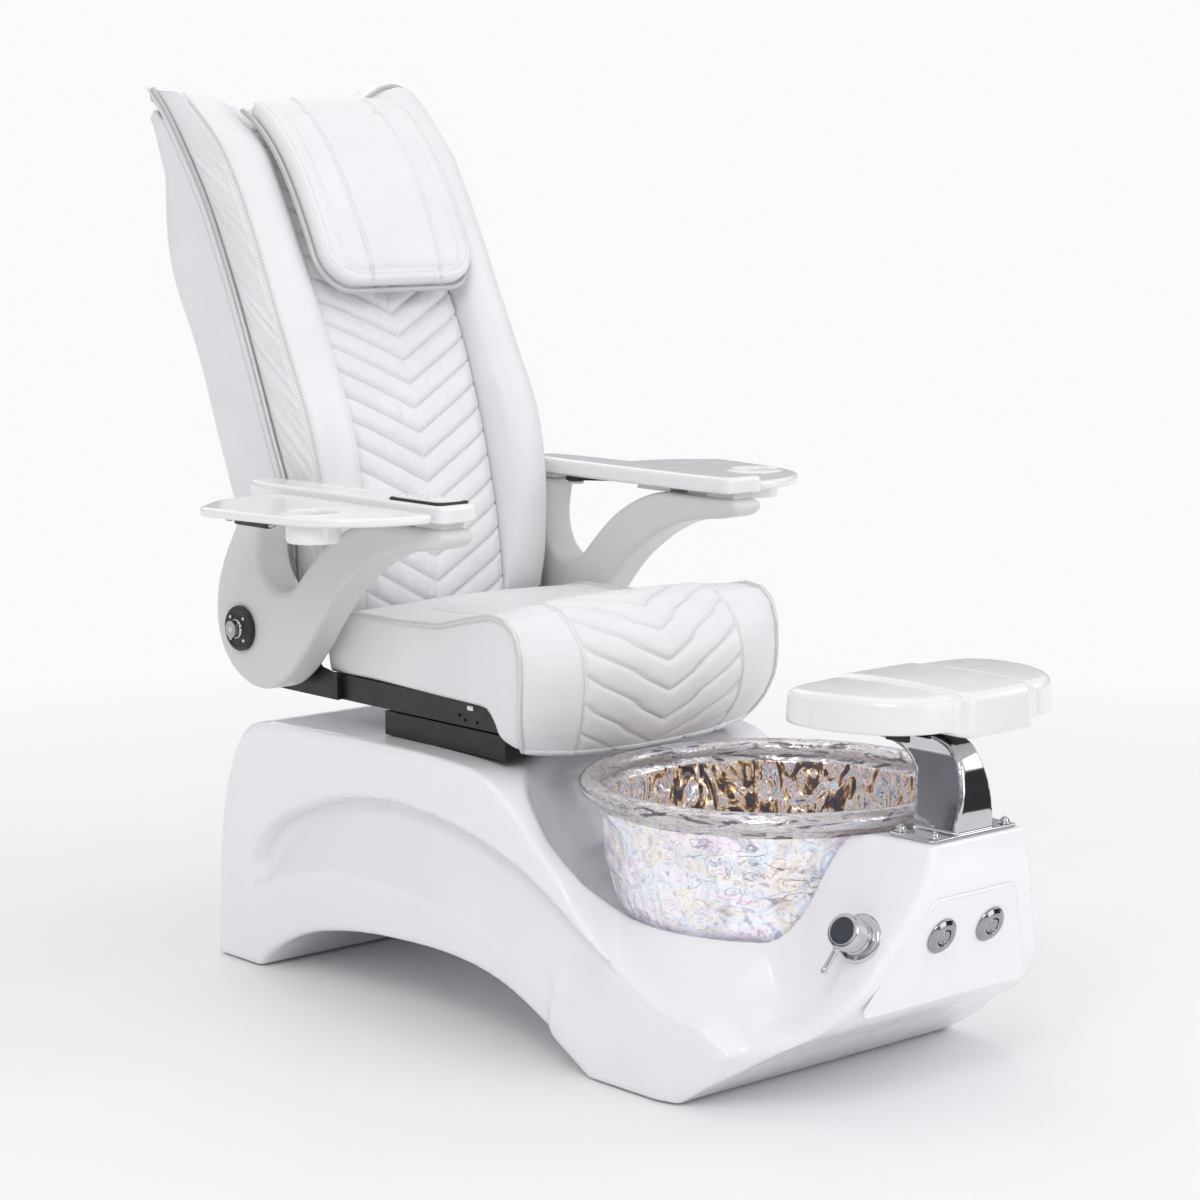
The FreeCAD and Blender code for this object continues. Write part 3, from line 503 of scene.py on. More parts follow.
    b.inputs["Coat Roughness"].default_value = 0.02
    nt.links.new(col, b.inputs["Base Color"]); nt.links.new(n2, b.inputs["Normal"])
    # painted glow: the glass colour is also emitted at strength em, so the glass glows though it is no lamp
    nt.links.new(col, b.inputs["Emission Color"]); b.inputs["Emission Strength"].default_value = em
    g = nt.nodes.new("ShaderNodeBsdfPrincipled")
    g.inputs["Transmission Weight"].default_value = 1.0; g.inputs["IOR"].default_value = 1.32; g.inputs["Roughness"].default_value = 0.02
    nt.links.new(mixc(0.5, W, col), g.inputs["Base Color"]); nt.links.new(n2, g.inputs["Normal"])
    ms = nt.nodes.new("ShaderNodeMixShader")
    nt.links.new(maprange(nt, noise(nt, vec, 20, 2, 0.5, 1.0), 0.35, 0.65, tr[0], tr[1]), ms.inputs[0])
    nt.links.new(b.outputs[0], ms.inputs[1]); nt.links.new(g.outputs[0], ms.inputs[2])
    nt.links.new(ms.outputs[0], out.inputs[0])
    return mt


M = dict(
    shell=mat_gloss("white_gelcoat", (0.93, 0.935, 0.955), 0.2, 0.4, 0.02),
    leather=mat_leather("white_leather", (0.825, 0.83, 0.842)),
    boxing=mat_leather("white_leather_boxing", (0.82, 0.825, 0.842), 0.45),
    piping=mat_silver("grey_piping", (0.56, 0.56, 0.565)),
    piping_light=mat_silver("pale_piping", (0.72, 0.72, 0.725)),
    # painted shade: the white stitch thread is given a grey colour so the seams read as shaded lines
    thread=mat_leather("stitch_thread_seam_shade", (0.66, 0.66, 0.67), 0.6, 0.5),
    arm=mat_gloss("arm_plastic", (0.70, 0.69, 0.675), 0.34, 0.2, 0.04),
    tray=mat_gloss("tray_plastic", (0.87, 0.87, 0.875), 0.18, 0.3, 0.015),
    pad=mat_gloss("footrest_plastic", (0.85, 0.845, 0.825), 0.2, 0.25, 0.012),
    chrome_dark=mat_metal("dark_chrome", (0.36, 0.37, 0.39), 0.09),
    chrome=mat_metal("chrome", (0.62, 0.63, 0.65), 0.06),
    steel=mat_metal("steel", (0.45, 0.46, 0.48), 0.28, 0.06),
    black=mat_black("black_coat"),
    smoke=mat_black("smoke_cap", (0.03, 0.035, 0.045), 0.12, 0.02),
    plastic=mat_black("black_plastic", (0.02, 0.02, 0.022), 0.45, 0.2),
    rubber=mat_black("rubber", (0.022, 0.022, 0.022), 0.7, 0.3),
    glass=mat_glass("body"), glass_in=mat_glass("inside"), glass_rim=mat_glass("rim"),
    screen=mat_gloss("remote_face", (0.80, 0.81, 0.83), 0.12, 0.6, 0.01),
    label=mat_gloss("blank_label", (0.85, 0.85, 0.86), 0.4, 0.1, 0.02),
)
SLOT = {"white_shell": "shell", "white_panel": "shell", "dark_steel": "black", "grey_steel": "steel", "chrome": "chrome", "black_plastic": "plastic",
        "glass": "glass", "arm_plastic": "arm", "tray_plastic": "tray", "upholstery": "leather", "pad_plastic": "pad", "rubber": "rubber"}
for sp in frame["record"]["subparts"]:
    o = NODES[sp["node"]]
    mt = M[SLOT[sp["material_slot"]]]
    if not o.data.materials:
        o.data.materials.append(mt)
    if sp["node"].startswith("arm_bracket"):
        mt = M["arm"]
    for i in range(len(o.material_slots)):
        o.material_slots[i].material = mt


# --------------------------------------------------------------- base shell
ARCH = [(-317, 0), (-274, 24), (-214, 56), (-154, 84), (-101, 103), (-30, 117), (49, 122), (148, 120), (232, 114), (310, 103), (391, 84), (455, 57), (510, 21), (533, -6)]
REAR = [(650, -6), (643, 70), (638, 188), (622, 281), (600, 345), (574, 388), (543, 413), (491, 424)]
TOP = [(260, 430), (94, 430), (-20, 424), (-56, 416), (-100, 394), (-140, 364), (-186, 323), (-237, 284), (-266, 252), (-316, 207), (-360, 176), (-409, 156), (-471, 137), (-540, 128)]
LIP = [(553, 150), (549, 175), (534, 207), (505, 240), (467, 268), (376, 306), (280, 332), (161, 344), (31, 335), (-79, 312), (-155, 286), (-222, 253), (-288, 216), (-359, 177), (-430, 149), (-471, 140)]
BAND = [(628, 69), (584, 108), (508, 150), (415, 181), (318, 201), (214, 204), (97, 198), (-8, 190), (-86, 166), (-139, 147), (-199, 109), (-243, 73), (-288, 43), (-345, 16), (-430, 2)]


def base_field(X, Y, Z):
    Y2, Z2 = Y[0], Z[0]
    X2, YP = X[:, :, 0], Y[:, :, 0]
    arch = catmull(ARCH, n=6); rear = catmull(REAR, n=6); top = catmull(TOP, n=6)
    prof = np.vstack([arch, rear, top, [(-600, 100), (-560, 40), (-520, -6), (-330, -6)]])
    w2 = sdf_poly(prof, Y2, Z2)
    lip = catmull(LIP, n=6); band = catmull(BAND, n=6)
    cove = sdf_poly(np.vstack([lip, band[::-1]]), Y2, Z2)
    dl, db = dist_line(lip, Y2, Z2), dist_line(band, Y2, Z2)
    de = dist_line([(553, 150), (628, 69)], Y2, Z2)
    t = dl / (dl + db + 1e-6)
    depth = np.where(cove < 0, 32 * sstep(0, 9, dl) * (1 - t ** 1.25) * sstep(0, 42, de), 0)
    depth *= sstep(-440, -230, Y2)
    hw = 300 - depth
    fw = rmax(np.broadcast_to(w2, X.shape), np.abs(X) - hw[None], 9)
    # swoop from the bowl trough up the sides of the console
    ax = np.abs(X2)
    r0 = np.sqrt(X2 ** 2 + (YP + 390) ** 2)
    hc = 137 + 122 * sstep(332, 205, r0)
    xe = np.maximum(np.sqrt(ax ** 2 + 4) - 96 - 0.124 * np.clip(YP + 797, 0, 160), 0)
    u = (-0.30 + np.sqrt(0.09 + 0.0024 * xe)) / 0.0012
    hs = 404 - u
    hs = np.where(YP > -560, hs - (YP + 560) * 0.6, hs)
    hs = hs - 85 * sstep(-745, -600, YP) * sstep(6, 95, xe)
    H = smax(hc, hs, 74)
    H = np.minimum(H, 404)
    gx, gy = np.gradient(H, X2[1, 0] - X2[0, 0], YP[0, 1] - YP[0, 0])
    ft = (Z - H[:, :, None]) / np.sqrt(1 + gx ** 2 + gy ** 2)[:, :, None]
    hwp = np.interp(YP[0], [-820, -760, -712, -656, -600, -545, -480, -430, 700], [196, 214, 236, 254, 270, 284, 296, 300, 300])
    fp = (np.abs(X) - hwp[None, :, None]) * 0.98
    fs = rmax(ft, fp, 42)
    fs = np.maximum(fs, Y + 230)
    under = sdf_poly(np.vstack([arch, [(533, -80), (-317, -80)]]), Y2, Z2)
    fs = rmax(fs, -np.broadcast_to(under[None], X.shape), 9)
    f = smin(fw, fs, 26)
    # front face, the level part above it and the ramp under the console
    f1 = (Y + 772.42) * -0.94762 + (Z - 265) * -0.31939
    f2 = -(Y + 797)
    f3 = (Y + 523) * -0.5540 + (Z - 12) * -0.8326
    ff = smax(smax(f1, f2, 16), f3, 46)
    f = smax(rmax(f, ff, 5), ff, 4 + 40 * (1 - sstep(70, 190, Z)))
    # recess around the bowl
    g1r = [0, 112, 166, 190, 210, 236, 248, 257, 264, 270, 281, 301, 340]; g1z = [180, 180, 190, 203, 212, 233, 266, 298, 338, 366, 398, 402, 520]
    g2r = [0, 180, 222, 262, 296, 318, 330, 350]; g2z = [226, 226, 240, 275, 330, 385, 432, 520]
    h = X2[1, 0] - X2[0, 0]
    def cut(rr, gr, gz):
        G = np.interp(rr, gr, gz)
        a, b = np.gradient(G, h, h)
        return (G[:, :, None] - Z) / np.sqrt(1 + a ** 2 + b ** 2)[:, :, None]
    d = smin(cut(r0, g1r, g1z), cut(np.sqrt(X2 ** 2 + (YP + 310) ** 2), g2r, g2z), 14)
    f = rmax(f, -d, 8)
    f = np.maximum(f, 3.0 - Z)
    return f


def build_base():
    h = 5.5
    ax, (X, Y, Z) = grid((0, -806, 0), (302, 656, 436), h)
    ax[0] = ax[0] + 2 * h
    X = X + 2 * h
    F = base_field(X, Y, Z)
    F = np.concatenate([F[:0:-1], F], 0)
    V, Q = surface_nets(F, [-(F.shape[0] // 2) * h, ax[1][0], ax[2][0]], h)
    V = relax(V, Q, 2)
    V[:, 2] = np.maximum(V[:, 2], 3.0)
    parts = [(V, Q)]
    o = make("base_shell_moulding", V, Q, M["shell"], "base", ("base_shell",), "white_shell")
    return o


build_base()
# ------------------------------------------------------------- soft goods
def tube_faces(N, L, caps=True):
    i = np.arange(N - 1)[:, None]; j = np.arange(L)[None, :]
    a = i * L + j; b = i * L + (j + 1) % L
    F = np.stack([a, b, b + L, a + L], -1).reshape(-1, 4).tolist()
    if caps:
        F.append(list(range(L))[::-1]); F.append([(N - 1) * L + k for k in range(L)])
    return F


def grid_normals(P):
    ds = np.gradient(P, axis=0)
    dt = np.roll(P, -1, 1) - np.roll(P, 1, 1)
    n = np.cross(ds, dt)
    n /= np.maximum(np.linalg.norm(n, axis=2, keepdims=True), 1e-9)
    c = P.mean(1, keepdims=True)
    if ((P - c) * n).sum() < 0:
        n = -n
    return n


def cubic_up(D, si, sj, wrap):
    """bicubic resampling of a coarse grid D at fractional rows si and columns sj"""
    def w(t):
        return np.stack([-0.5 * t + t * t - 0.5 * t ** 3, 1 - 2.5 * t * t + 1.5 * t ** 3, 0.5 * t + 2 * t * t - 1.5 * t ** 3, -0.5 * t * t + 0.5 * t ** 3])
    N, L = D.shape[:2]
    i0 = np.floor(si).astype(int); wi = w(si - i0)
    A = sum(wi[k][:, None, None] * D[np.clip(i0 + k - 1, 0, N - 1)] for k in range(4))
    j0 = np.floor(sj).astype(int); wj = w(sj - j0)
    idx = lambda k: (j0 + k - 1) % L if wrap else np.clip(j0 + k - 1, 0, L - 1)
    return sum(wj[k][None, :, None] * A[:, idx(k)] for k in range(4))


def cloth_swell(V, F, pins, cap, pressure=4.0, frames=20, stiff=15.0):
    """inflates a closed mesh with a cloth simulation; returns moved points in mm"""
    me = bpy.data.meshes.new("sim"); me.from_pydata((m(V)).tolist(), [], F); me.update()
    o = bpy.data.objects.new("sim", me); scene.collection.objects.link(o)
    bm = bmesh.new(); bm.from_mesh(me); bmesh.ops.recalc_face_normals(bm, faces=bm.faces); bm.to_mesh(me); bm.free()
    g = o.vertex_groups.new(name="pin")
    g.add([int(i) for i in np.nonzero(pins)[0]], 1.0, "REPLACE")
    c = o.modifiers.new("Cloth", "CLOTH")
    s = c.settings
    s.quality = 6; s.mass = 0.3; s.use_pressure = True; s.uniform_pressure_force = pressure
    s.tension_stiffness = s.compression_stiffness = stiff; s.shear_stiffness = stiff * 0.4; s.bending_stiffness = 0.6
    s.effector_weights.gravity = 0.0
    s.vertex_group_mass = "pin"
    c.collision_settings.use_collision = False; c.collision_settings.use_self_collision = False
    c.point_cache.frame_start = 1; c.point_cache.frame_end = frames
    for f in range(1, frames + 1):
        scene.frame_set(f)
    ev = o.evaluated_get(bpy.context.evaluated_depsgraph_get())
    co = np.empty(len(ev.data.vertices) * 3); ev.data.vertices.foreach_get("co", co)
    W = co.reshape(-1, 3) * 1000 + np.array([0, OY, 0])
    bpy.data.objects.remove(o, do_unlink=True)
    scene.frame_set(1)
    D = W - V
    D[~np.isfinite(D)] = 0
    L = np.linalg.norm(D, axis=1)
    k = np.where(L > 1e-6, cap * np.tanh(L / cap) / np.maximum(L, 1e-6), 0)
    return V + D * k[:, None]


def swell_grid(P, pins_fn, cap, k=4, caps=True, **kw):
    """runs the simulation on every k-th row and column of a tube grid and carries the swelling over to the fine grid"""
    N, L = P.shape[:2]
    n, l = max(8, N // k), max(8, L // k)
    si = np.linspace(0, N - 1, n); sj = np.arange(l) * L / l
    C = cubic_up(P, si, sj, True)
    pins = pins_fn(si / (N - 1), sj / L).reshape(-1)
    V = C.reshape(-1, 3)
    W = cloth_swell(V, tube_faces(n, l, caps), pins, cap, **kw)
    D = (W - V).reshape(n, l, 3)
    return P + cubic_up(D, np.arange(N) * (n - 1) / (N - 1), np.arange(L) * l / L, True)


def at(P, i, j):
    """point of a grid at fractional row and column"""
    i = np.asarray(i, float); j = np.asarray(j, float)
    i0 = np.clip(np.floor(i).astype(int), 0, P.shape[0] - 2); j0 = np.floor(j).astype(int) % P.shape[1]
    fi = (i - i0)[..., None]; fj = (j - np.floor(j))[..., None]; j1 = (j0 + 1) % P.shape[1]
    return (P[i0, j0] * (1 - fi) + P[i0 + 1, j0] * fi) * (1 - fj) + (P[i0, j1] * (1 - fi) + P[i0 + 1, j1] * fi) * fj


def stitches(paths, pitch=5.2, length=3.7, r=0.62):
    """a line of sewn thread dashes for every (points, normals) path"""
    parts = []
    a = np.linspace(0, 2 * np.pi, 6, endpoint=False)
    for P, Nn in paths:
        s = arclen(P)
        if s[-1] < pitch:
            continue
        q = np.arange(pitch / 2, s[-1], pitch)
        C = np.stack([np.interp(q, s, P[:, k]) for k in range(3)], -1)
        n = np.stack([np.interp(q, s, Nn[:, k]) for k in range(3)], -1)
        n /= np.maximum(np.linalg.norm(n, axis=1, keepdims=True), 1e-9)
        T = np.gradient(C, axis=0); T /= np.maximum(np.linalg.norm(T, axis=1, keepdims=True), 1e-9)
        W = np.cross(T, n)
        V, F = [], []
        for off, rr, up in ((-0.5, 0.25, -0.35), (-0.28, 1.0, 0.25), (0.28, 1.0, 0.25), (0.5, 0.25, -0.35)):
            V.append(C[:, None] + T[:, None] * off * length + (n[:, None] * (np.sin(a)[None, :, None] * 0.8 * rr * r + up * r)) + W[:, None] * (np.cos(a)[None, :, None] * rr * r))
        V = np.stack(V, 1)                       # stitches, rings, 6, 3
        ns = len(C)
        for k in range(ns):
            b = k * 24
            for g in range(3):
                for e in range(6):
                    f = (e + 1) % 6
                    F.append([b + g * 6 + e, b + g * 6 + f, b + g * 6 + 6 + f, b + g * 6 + 6 + e])
            F.append([b + e for e in range(6)][::-1]); F.append([b + 18 + e for e in range(6)])
        parts.append((V.reshape(-1, 3), F))
    return join_meshes(parts)


FRONT = [(414, 596), (419, 640), (431, 728), (458, 847), (489, 948), (528, 1050), (566, 1129), (604, 1205), (650, 1290), (700, 1370), (744, 1420), (782, 1448)]
BOL_F = [(424, 600), (408, 655), (400, 720), (398, 794), (404, 863), (424, 931), (474, 1031), (526, 1133), (578, 1236), (622, 1313), (660, 1366), (716, 1412), (786, 1456)]
PIPE = [(470, 640), (478, 720), (492, 800), (530, 890), (580, 1008), (620, 1098), (660, 1180), (712, 1275), (770, 1357), (822, 1422), (862, 1460)]
SHELL_R = [(596, 606), (640, 668), (684, 752), (725, 853), (793, 1019), (842, 1110), (864, 1170), (874, 1238), (874, 1307), (884, 1350), (896, 1400), (903, 1442), (880, 1462)]


def saddle(P):
    """the top of the backrest dips between its two corners"""
    x, y, z = P[..., 0], P[..., 1], P[..., 2]
    ax = np.abs(x)
    dz = np.where(x > 0, 12.0, -7.0) * np.exp(-((ax - 205) / 44) ** 2) * sstep(1370, 1450, z) - (26 + 20 * sstep(790, 890, y)) * (1 - sstep(105, 222, ax)) * sstep(1330, 1452, z)
    P[..., 0] = x + np.where(x > 0, 8.0, 0.0) * sstep(1370, 1440, z) * sstep(170, 240, ax)
    P[..., 2] = z + dz
    return P


def chevron(s, x, pitch, slope):
    ph = (s - np.abs(x) * slope) / pitch
    f = ph - np.floor(ph)
    return ph, f


def build_back_panel():
    F, s = resample(catmull(FRONT, n=16), step=2.7)
    N = len(F)
    T = np.gradient(F, axis=0); T /= np.linalg.norm(T, axis=1)[:, None]
    n2 = np.stack([-T[:, 1], T[:, 0]], -1)       # towards the sitter
    x = np.linspace(-149, 149, 112)
    edge = 1 - np.abs(x / 149)
    off = -7 * (1 - np.sqrt(np.clip(1 - (1 - np.clip(edge / 0.09, 0, 1)) ** 2, 0, 1)))
    P = np.zeros((N, len(x), 3))
    P[:, :, 0] = x[None]
    P[:, :, 1] = F[:, None, 0] + n2[:, None, 0] * off[None]
    P[:, :, 2] = F[:, None, 1] + n2[:, None, 1] * off[None]
    back = []
    for xx, d in ((149, -26), (147, -44), (70, -46), (0, -46), (-70, -46), (-147, -44), (-149, -26)):
        back.append(np.stack([np.full(N, xx), F[:, 0] + n2[:, 0] * d, F[:, 1] + n2[:, 1] * d], -1))
    P = np.concatenate([P, np.stack(back, 1)], 1)
    M0 = len(x)
    def pins(a, b):
        p = np.zeros((len(a), len(b)))
        p[:, (b * P.shape[1] > M0 - 2) | (b * P.shape[1] < 2)] = 1
        p[0] = p[-1] = 1
        return p
    P = swell_grid(P, pins, 9, k=4)
    n = grid_normals(P)
    X = np.broadcast_to(x[None], (N, M0)); S = np.broadcast_to(s[:, None], (N, M0))
    ph, f = chevron(S, X, 42.0, 0.545)
    ins = sstep(-2, 26, 149 - np.abs(X))
    h = 7.0 * (1 - np.abs(2 * f - 1) ** 3.2) * ins
    h -= 3.2 * np.exp(-(np.minimum(f, 1 - f) * 42 / 1.7) ** 2)
    # gathers across each channel, strongest on the sitter's right half and near the centre fold
    along = np.abs(X) / 0.88 + 9 * np.sin(np.pi * f)
    wx = vnoise(along / 4.6 + 3 * vnoise(S / 30, X / 30, 5), ph * 1.1 + 4 * np.sign(X), 3)
    wy = vnoise(along / 9.5, ph * 0.9 + 9, 8)
    env = np.sin(np.pi * f) ** 0.8 * ins
    side = np.where(X < 0, 1.0, 0.55) * (0.35 + 0.65 * np.exp(-(np.abs(X) - 35) ** 2 / 70 ** 2))
    h += (wx * 3.6 + wy * 2.8) * env * side
    P[:, :M0] += n[:, :M0] * h[..., None]
    P = saddle(P)
    V = P.reshape(-1, 3)
    o = make("back_quilted_panel", V, tube_faces(N, P.shape[1]), M["leather"], "back", ("back_cushion",), "upholstery")
    return P, n, s, x


def build_bolster(sx):
    Nn = 330
    Fc, _ = resample(catmull(FRONT, n=16), n=Nn); Bc, s = resample(catmull(BOL_F, n=16), n=Nn); Pc, _ = resample(catmull(PIPE, n=16), n=Nn)
    t = np.linspace(0, 1, Nn)
    T = np.gradient(Fc, axis=0); T /= np.linalg.norm(T, axis=1)[:, None]
    n2 = np.stack([-T[:, 1], T[:, 0]], -1)
    M0 = 64
    rows = []
    for i in range(Nn):
        C, B, Q = Fc[i], Bc[i], Pc[i]
        k = 6 * sstep(0.0, 0.06, t[i])
        pts = [(150.5, *(C - n2[i] * 6)), (152.5, *(C + (B - C) * 0.35)), (163, *(C + (B - C) * 0.78)), (184, *(C + (B - C) * 1.0)), (212, *(B + (Q - B) * 0.01)),
               (233, *(B + (Q - B) * 0.10)), (245, *(B + (Q - B) * 0.27)), (249.5, *(B + (Q - B) * 0.52)), (250.5, *(B + (Q - B) * 0.8)), (249, *(Q - (Q - B) * 0.02))]
        c, _ = resample(catmull(pts, n=8), n=M0)
        inn = [(243, *(Q + (Q - B) * 0.02)), (200, *(C - n2[i] * 48)), (151, *(C - n2[i] * 46)), (150.5, *(C - n2[i] * 22))]
        rows.append(np.vstack([c, np.array(inn)]))
    P = np.array(rows)
    L = P.shape[1]
    seam = 0.60                                     # fraction of the sheet where the front strip meets the side strip
    d = np.linalg.norm(np.diff(P[Nn // 2, :M0], axis=0), axis=1); cs = np.r_[0, np.cumsum(d)]
    js = int(np.argmin(np.abs(P[Nn // 2, :M0, 0] - 243.0)))
    def pins(a, b):
        p = np.zeros((len(a), len(b)))
        jj = b * L
        p[:, (jj < 1.5) | (jj > M0 - 2.5)] = 1
        p[0] = p[-1] = 1
        return p
    P = swell_grid(P, pins, 7, k=5)
    n = grid_normals(P)
    J = np.broadcast_to(np.arange(M0)[None], (Nn, M0)); S = np.broadcast_to(s[:, None], (Nn, M0))
    dj = (J - js) * cs[-1] / (M0 - 1)
    h = -4.2 * np.exp(-(dj / 2.3) ** 2) + 1.8 * np.exp(-((np.abs(dj) - 9) / 6) ** 2)
    onside = sstep(4, 16, dj) * sstep(0, 6, (M0 - 1 - J) * 1.0)
    top = 1 - sstep(780, 900, S)
    diag = S / 13.0 - dj / 10.0
    h += onside * top * (7.0 * vnoise(diag, dj / 70 + S / 240, 11) + 2.0 * vnoise(diag * 2.1 + 5, S / 90, 12)) * (0.35 + 0.65 * sstep(120, 330, S))
    front = sstep(3, 14, -dj) * sstep(1, 6, J * 1.0)
    h += front * 1.3 * vnoise(S / 60.0, dj / 45, 14 + int(sx))
    P[:, :M0] += n[:, :M0] * h[..., None]
    P[:, :, 0] *= sx; n[:, :, 0] *= sx
    P = saddle(P)
    nm = "left" if sx > 0 else "right"
    make("bolster_sewn_" + nm, P.reshape(-1, 3), tube_faces(Nn, L), M["leather"], "back", ("bolster_" + nm,), "upholstery")
    paths = []
    step = (M0 - 1) / cs[-1]
    for o in (-4.6, 4.6):
        i = np.arange(4, Nn - 6); j = js + o * step
        paths.append((at(P, i, np.full(len(i), j)), at(n, i, np.full(len(i), j))))
    V, F = stitches(paths, 6.4, 4.4, 0.95)
    make("bolster_stitching_" + nm, V, F, M["thread"], "back", slot="upholstery")
    return P, n


def frames2(curve, n=None, step=None):
    C, s = resample(catmull(curve, n=16), n=n, step=step)
    T = np.gradient(C, axis=0); T /= np.linalg.norm(T, axis=1)[:, None]
    return C, s, np.stack([-T[:, 1], T[:, 0]], -1)


PILR = [(516, 1128), (526, 1150), (561, 1222), (605, 1298), (648, 1355), (700, 1400), (728, 1415)]


def build_pillow():
    C, s, n2 = frames2(PILR, step=4)
    L = s[-1]
    def field(X, S, D):
        # flat pattern: x across, S up the curve, D away from the backrest
        q = 62
        ax = np.abs(X) - (157 - q)
        sy = np.where(S < q, q - S, np.maximum(S - (L + 10 - 26), 0) * q / 26)
        o = np.sqrt(np.maximum(ax, 0) ** 2 + np.maximum(sy, 0) ** 2) - q
        o = np.where((ax < 0) & (sy <= 0), np.maximum(ax - q, -q), o)
        crown = 32 + 9 * (1 - (X / 160) ** 4) * np.sin(np.pi * np.clip(S / L * 0.86 + 0.07, 0, 1)) ** 0.7
        dip = -20 * sstep(0, 30, 132 - np.abs(X)) * sstep(6, 60, S) * (1 - sstep(L - 90, L - 30, S))
        return rmax(rmax(o, D - crown, 11), dip - D + 2, 5)
    h = 4.6
    ax, (X, S, D) = grid((-160, 0, -22), (160, L + 14, 46), h)
    V, Q = surface_nets(field(X, S, D), [a[0] for a in ax], h)
    V = relax(V, Q, 2)
    flat = V.copy()
    # the seam round the front edge and the welt at the rear edge hold while the faces swell
    ring = (np.abs(field(flat[:, 0], flat[:, 1], np.full(len(flat), 12.0))) < 3.4)
    edge = (flat[:, 2] > 22) & (np.abs(field(flat[:, 0], flat[:, 1], np.full(len(flat), 8.0)) + 7) < 3)
    rear = flat[:, 2] < 6
    Vs = V + np.array([0, OY, 0])
    W = cloth_swell(Vs, Q.tolist(), edge | rear, 8, pressure=3.0, stiff=20) - np.array([0, OY, 0])
    W = np.where(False, V, W)
    # one subdivision
    W2, Q2, F2 = subdivide(W, Q, flat)
    W2 = relax(W2, Q2, 2, 0.4, -0.41)
    nn = vert_normals(W2, Q2)
    X, S, D = F2.T
    fr = sstep(14, 26, D)
    hh = np.zeros(len(X))
    for xs in (-72, 72):
        d = np.abs(X - xs - 6 * np.sin(S / L * 2.6) * np.sign(xs))
        hh -= fr * 4.0 * np.exp(-(d / 2.4) ** 2)
        hh += fr * 1.5 * np.exp(-((d - 9) / 6) ** 2)
    e = -field(X, S, np.full(len(X), 8.0))
    hh -= sstep(10, 20, D) * 3.6 * np.exp(-((e - 9.0) / 2.4) ** 2)
    hh += fr * 1.4 * np.exp(-((e - 17.0) / 5) ** 2)
    hh += fr * 1.2 * vnoise(X / 38, S / 46, 21) + 0.5 * vnoise(X / 11, S / 17, 22) * fr * np.exp(-(e - 14) ** 2 / 180)
    W2 = W2 + nn * hh[:, None]
    def bend(V):
        i = np.interp(V[:, 1], s, np.arange(len(s)))
        sl = np.clip(V[:, 1], 0, L)
        c = np.stack([np.interp(sl, s, C[:, k]) for k in (0, 1)], -1); nn2 = np.stack([np.interp(sl, s, n2[:, k]) for k in (0, 1)], -1)
        nn2 /= np.linalg.norm(nn2, axis=1)[:, None]
        tt = np.stack([nn2[:, 1], -nn2[:, 0]], -1)
        ex = (V[:, 1] - sl)[:, None]
        p = c + nn2 * V[:, 2:3] + tt * ex
        return np.stack([V[:, 0], p[:, 0], p[:, 1]], -1)
    make("head_pillow", bend(W2), Q2, M["leather"], "back", ("headrest_pillow",), "upholstery")
    # piping round the rear edge
    def outline(off, d, s0=0.0, s1=None):
        q = 62; w = 157 + off; s1 = L + 4 if s1 is None else s1
        pts = [(-w, s1), (-w, q)]
        for a in np.linspace(0, 90, 14)[1:]:
            a = math.radians(a); pts.append((-w + (q) * (1 - math.cos(a)), q - (q + off) * math.sin(a)))
        pts += [(-x, y) for x, y in pts[::-1]]
        P, _ = resample(np.array(pts, float), step=4)
        return np.stack([P[:, 0], P[:, 1], np.full(len(P), float(d))], -1)
    parts = [sweep(bend(outline(6.5, 7)), 4.8, 12)]
    V, F = join_meshes(parts)
    make("head_pillow_piping", V, F, M["piping"], "back", slot="upholstery")
    # thread lines: ring seam and two long seams, each doubled
    tree_v, tree_n = W2, nn
    from mathutils.kdtree import KDTree
    kd = KDTree(len(tree_v))
    for i, v in enumerate(tree_v):
        kd.insert(v, i)
    kd.balance()
    def onsurf(P):
        out, no = [], []
        for p in P:
            best = None
            for co, i, d in kd.find_n((p[0], p[1], 40), 1):
                best = i
            # walk down in depth to the nearest front vertex with matching x and s
            cand = kd.find_range((p[0], p[1], p[2]), 9)
            if cand:
                w = np.array([1 / (0.3 + (tree_v[i][0] - p[0]) ** 2 + (tree_v[i][1] - p[1]) ** 2) if tree_v[i][2] > 16 else 0 for _, i, _ in cand])
                if w.sum() > 0:
                    z = sum(w[k] * tree_v[c[1]][2] for k, c in enumerate(cand)) / w.sum()
                    nn_ = sum(w[k] * tree_n[c[1]] for k, c in enumerate(cand)) / w.sum()
                    out.append((p[0], p[1], z)); no.append(nn_); continue
            out.append(tuple(tree_v[best])); no.append(tree_n[best])
        return np.array(out), np.array(no)
    paths = []
    for xs in (-72, 72):
        for o in (-4.5, 4.5):
            ss = np.arange(10, L - 4, 5.0)
            P = np.stack([xs + 6 * np.sin(ss / L * 2.6) * np.sign(xs) + o, ss, np.full(len(ss), 38.0)], -1)
            paths.append(onsurf(P))
    for off in (-5.5, -13.5):
        P = outline(off, 31, s1=L - 2)
        paths.append(onsurf(P))
    bp = []
    for P, nv in paths:
        B0 = bend(P); B1 = bend(P + nv * 2)
        k = (B1 - B0); k /= np.maximum(np.linalg.norm(k, axis=1, keepdims=True), 1e-6)
        bp.append((B0, k))
    V, F = stitches(bp, 6.0, 4.2, 0.85)
    make("head_pillow_stitching", V, F, M["thread"], "back", slot="upholstery")


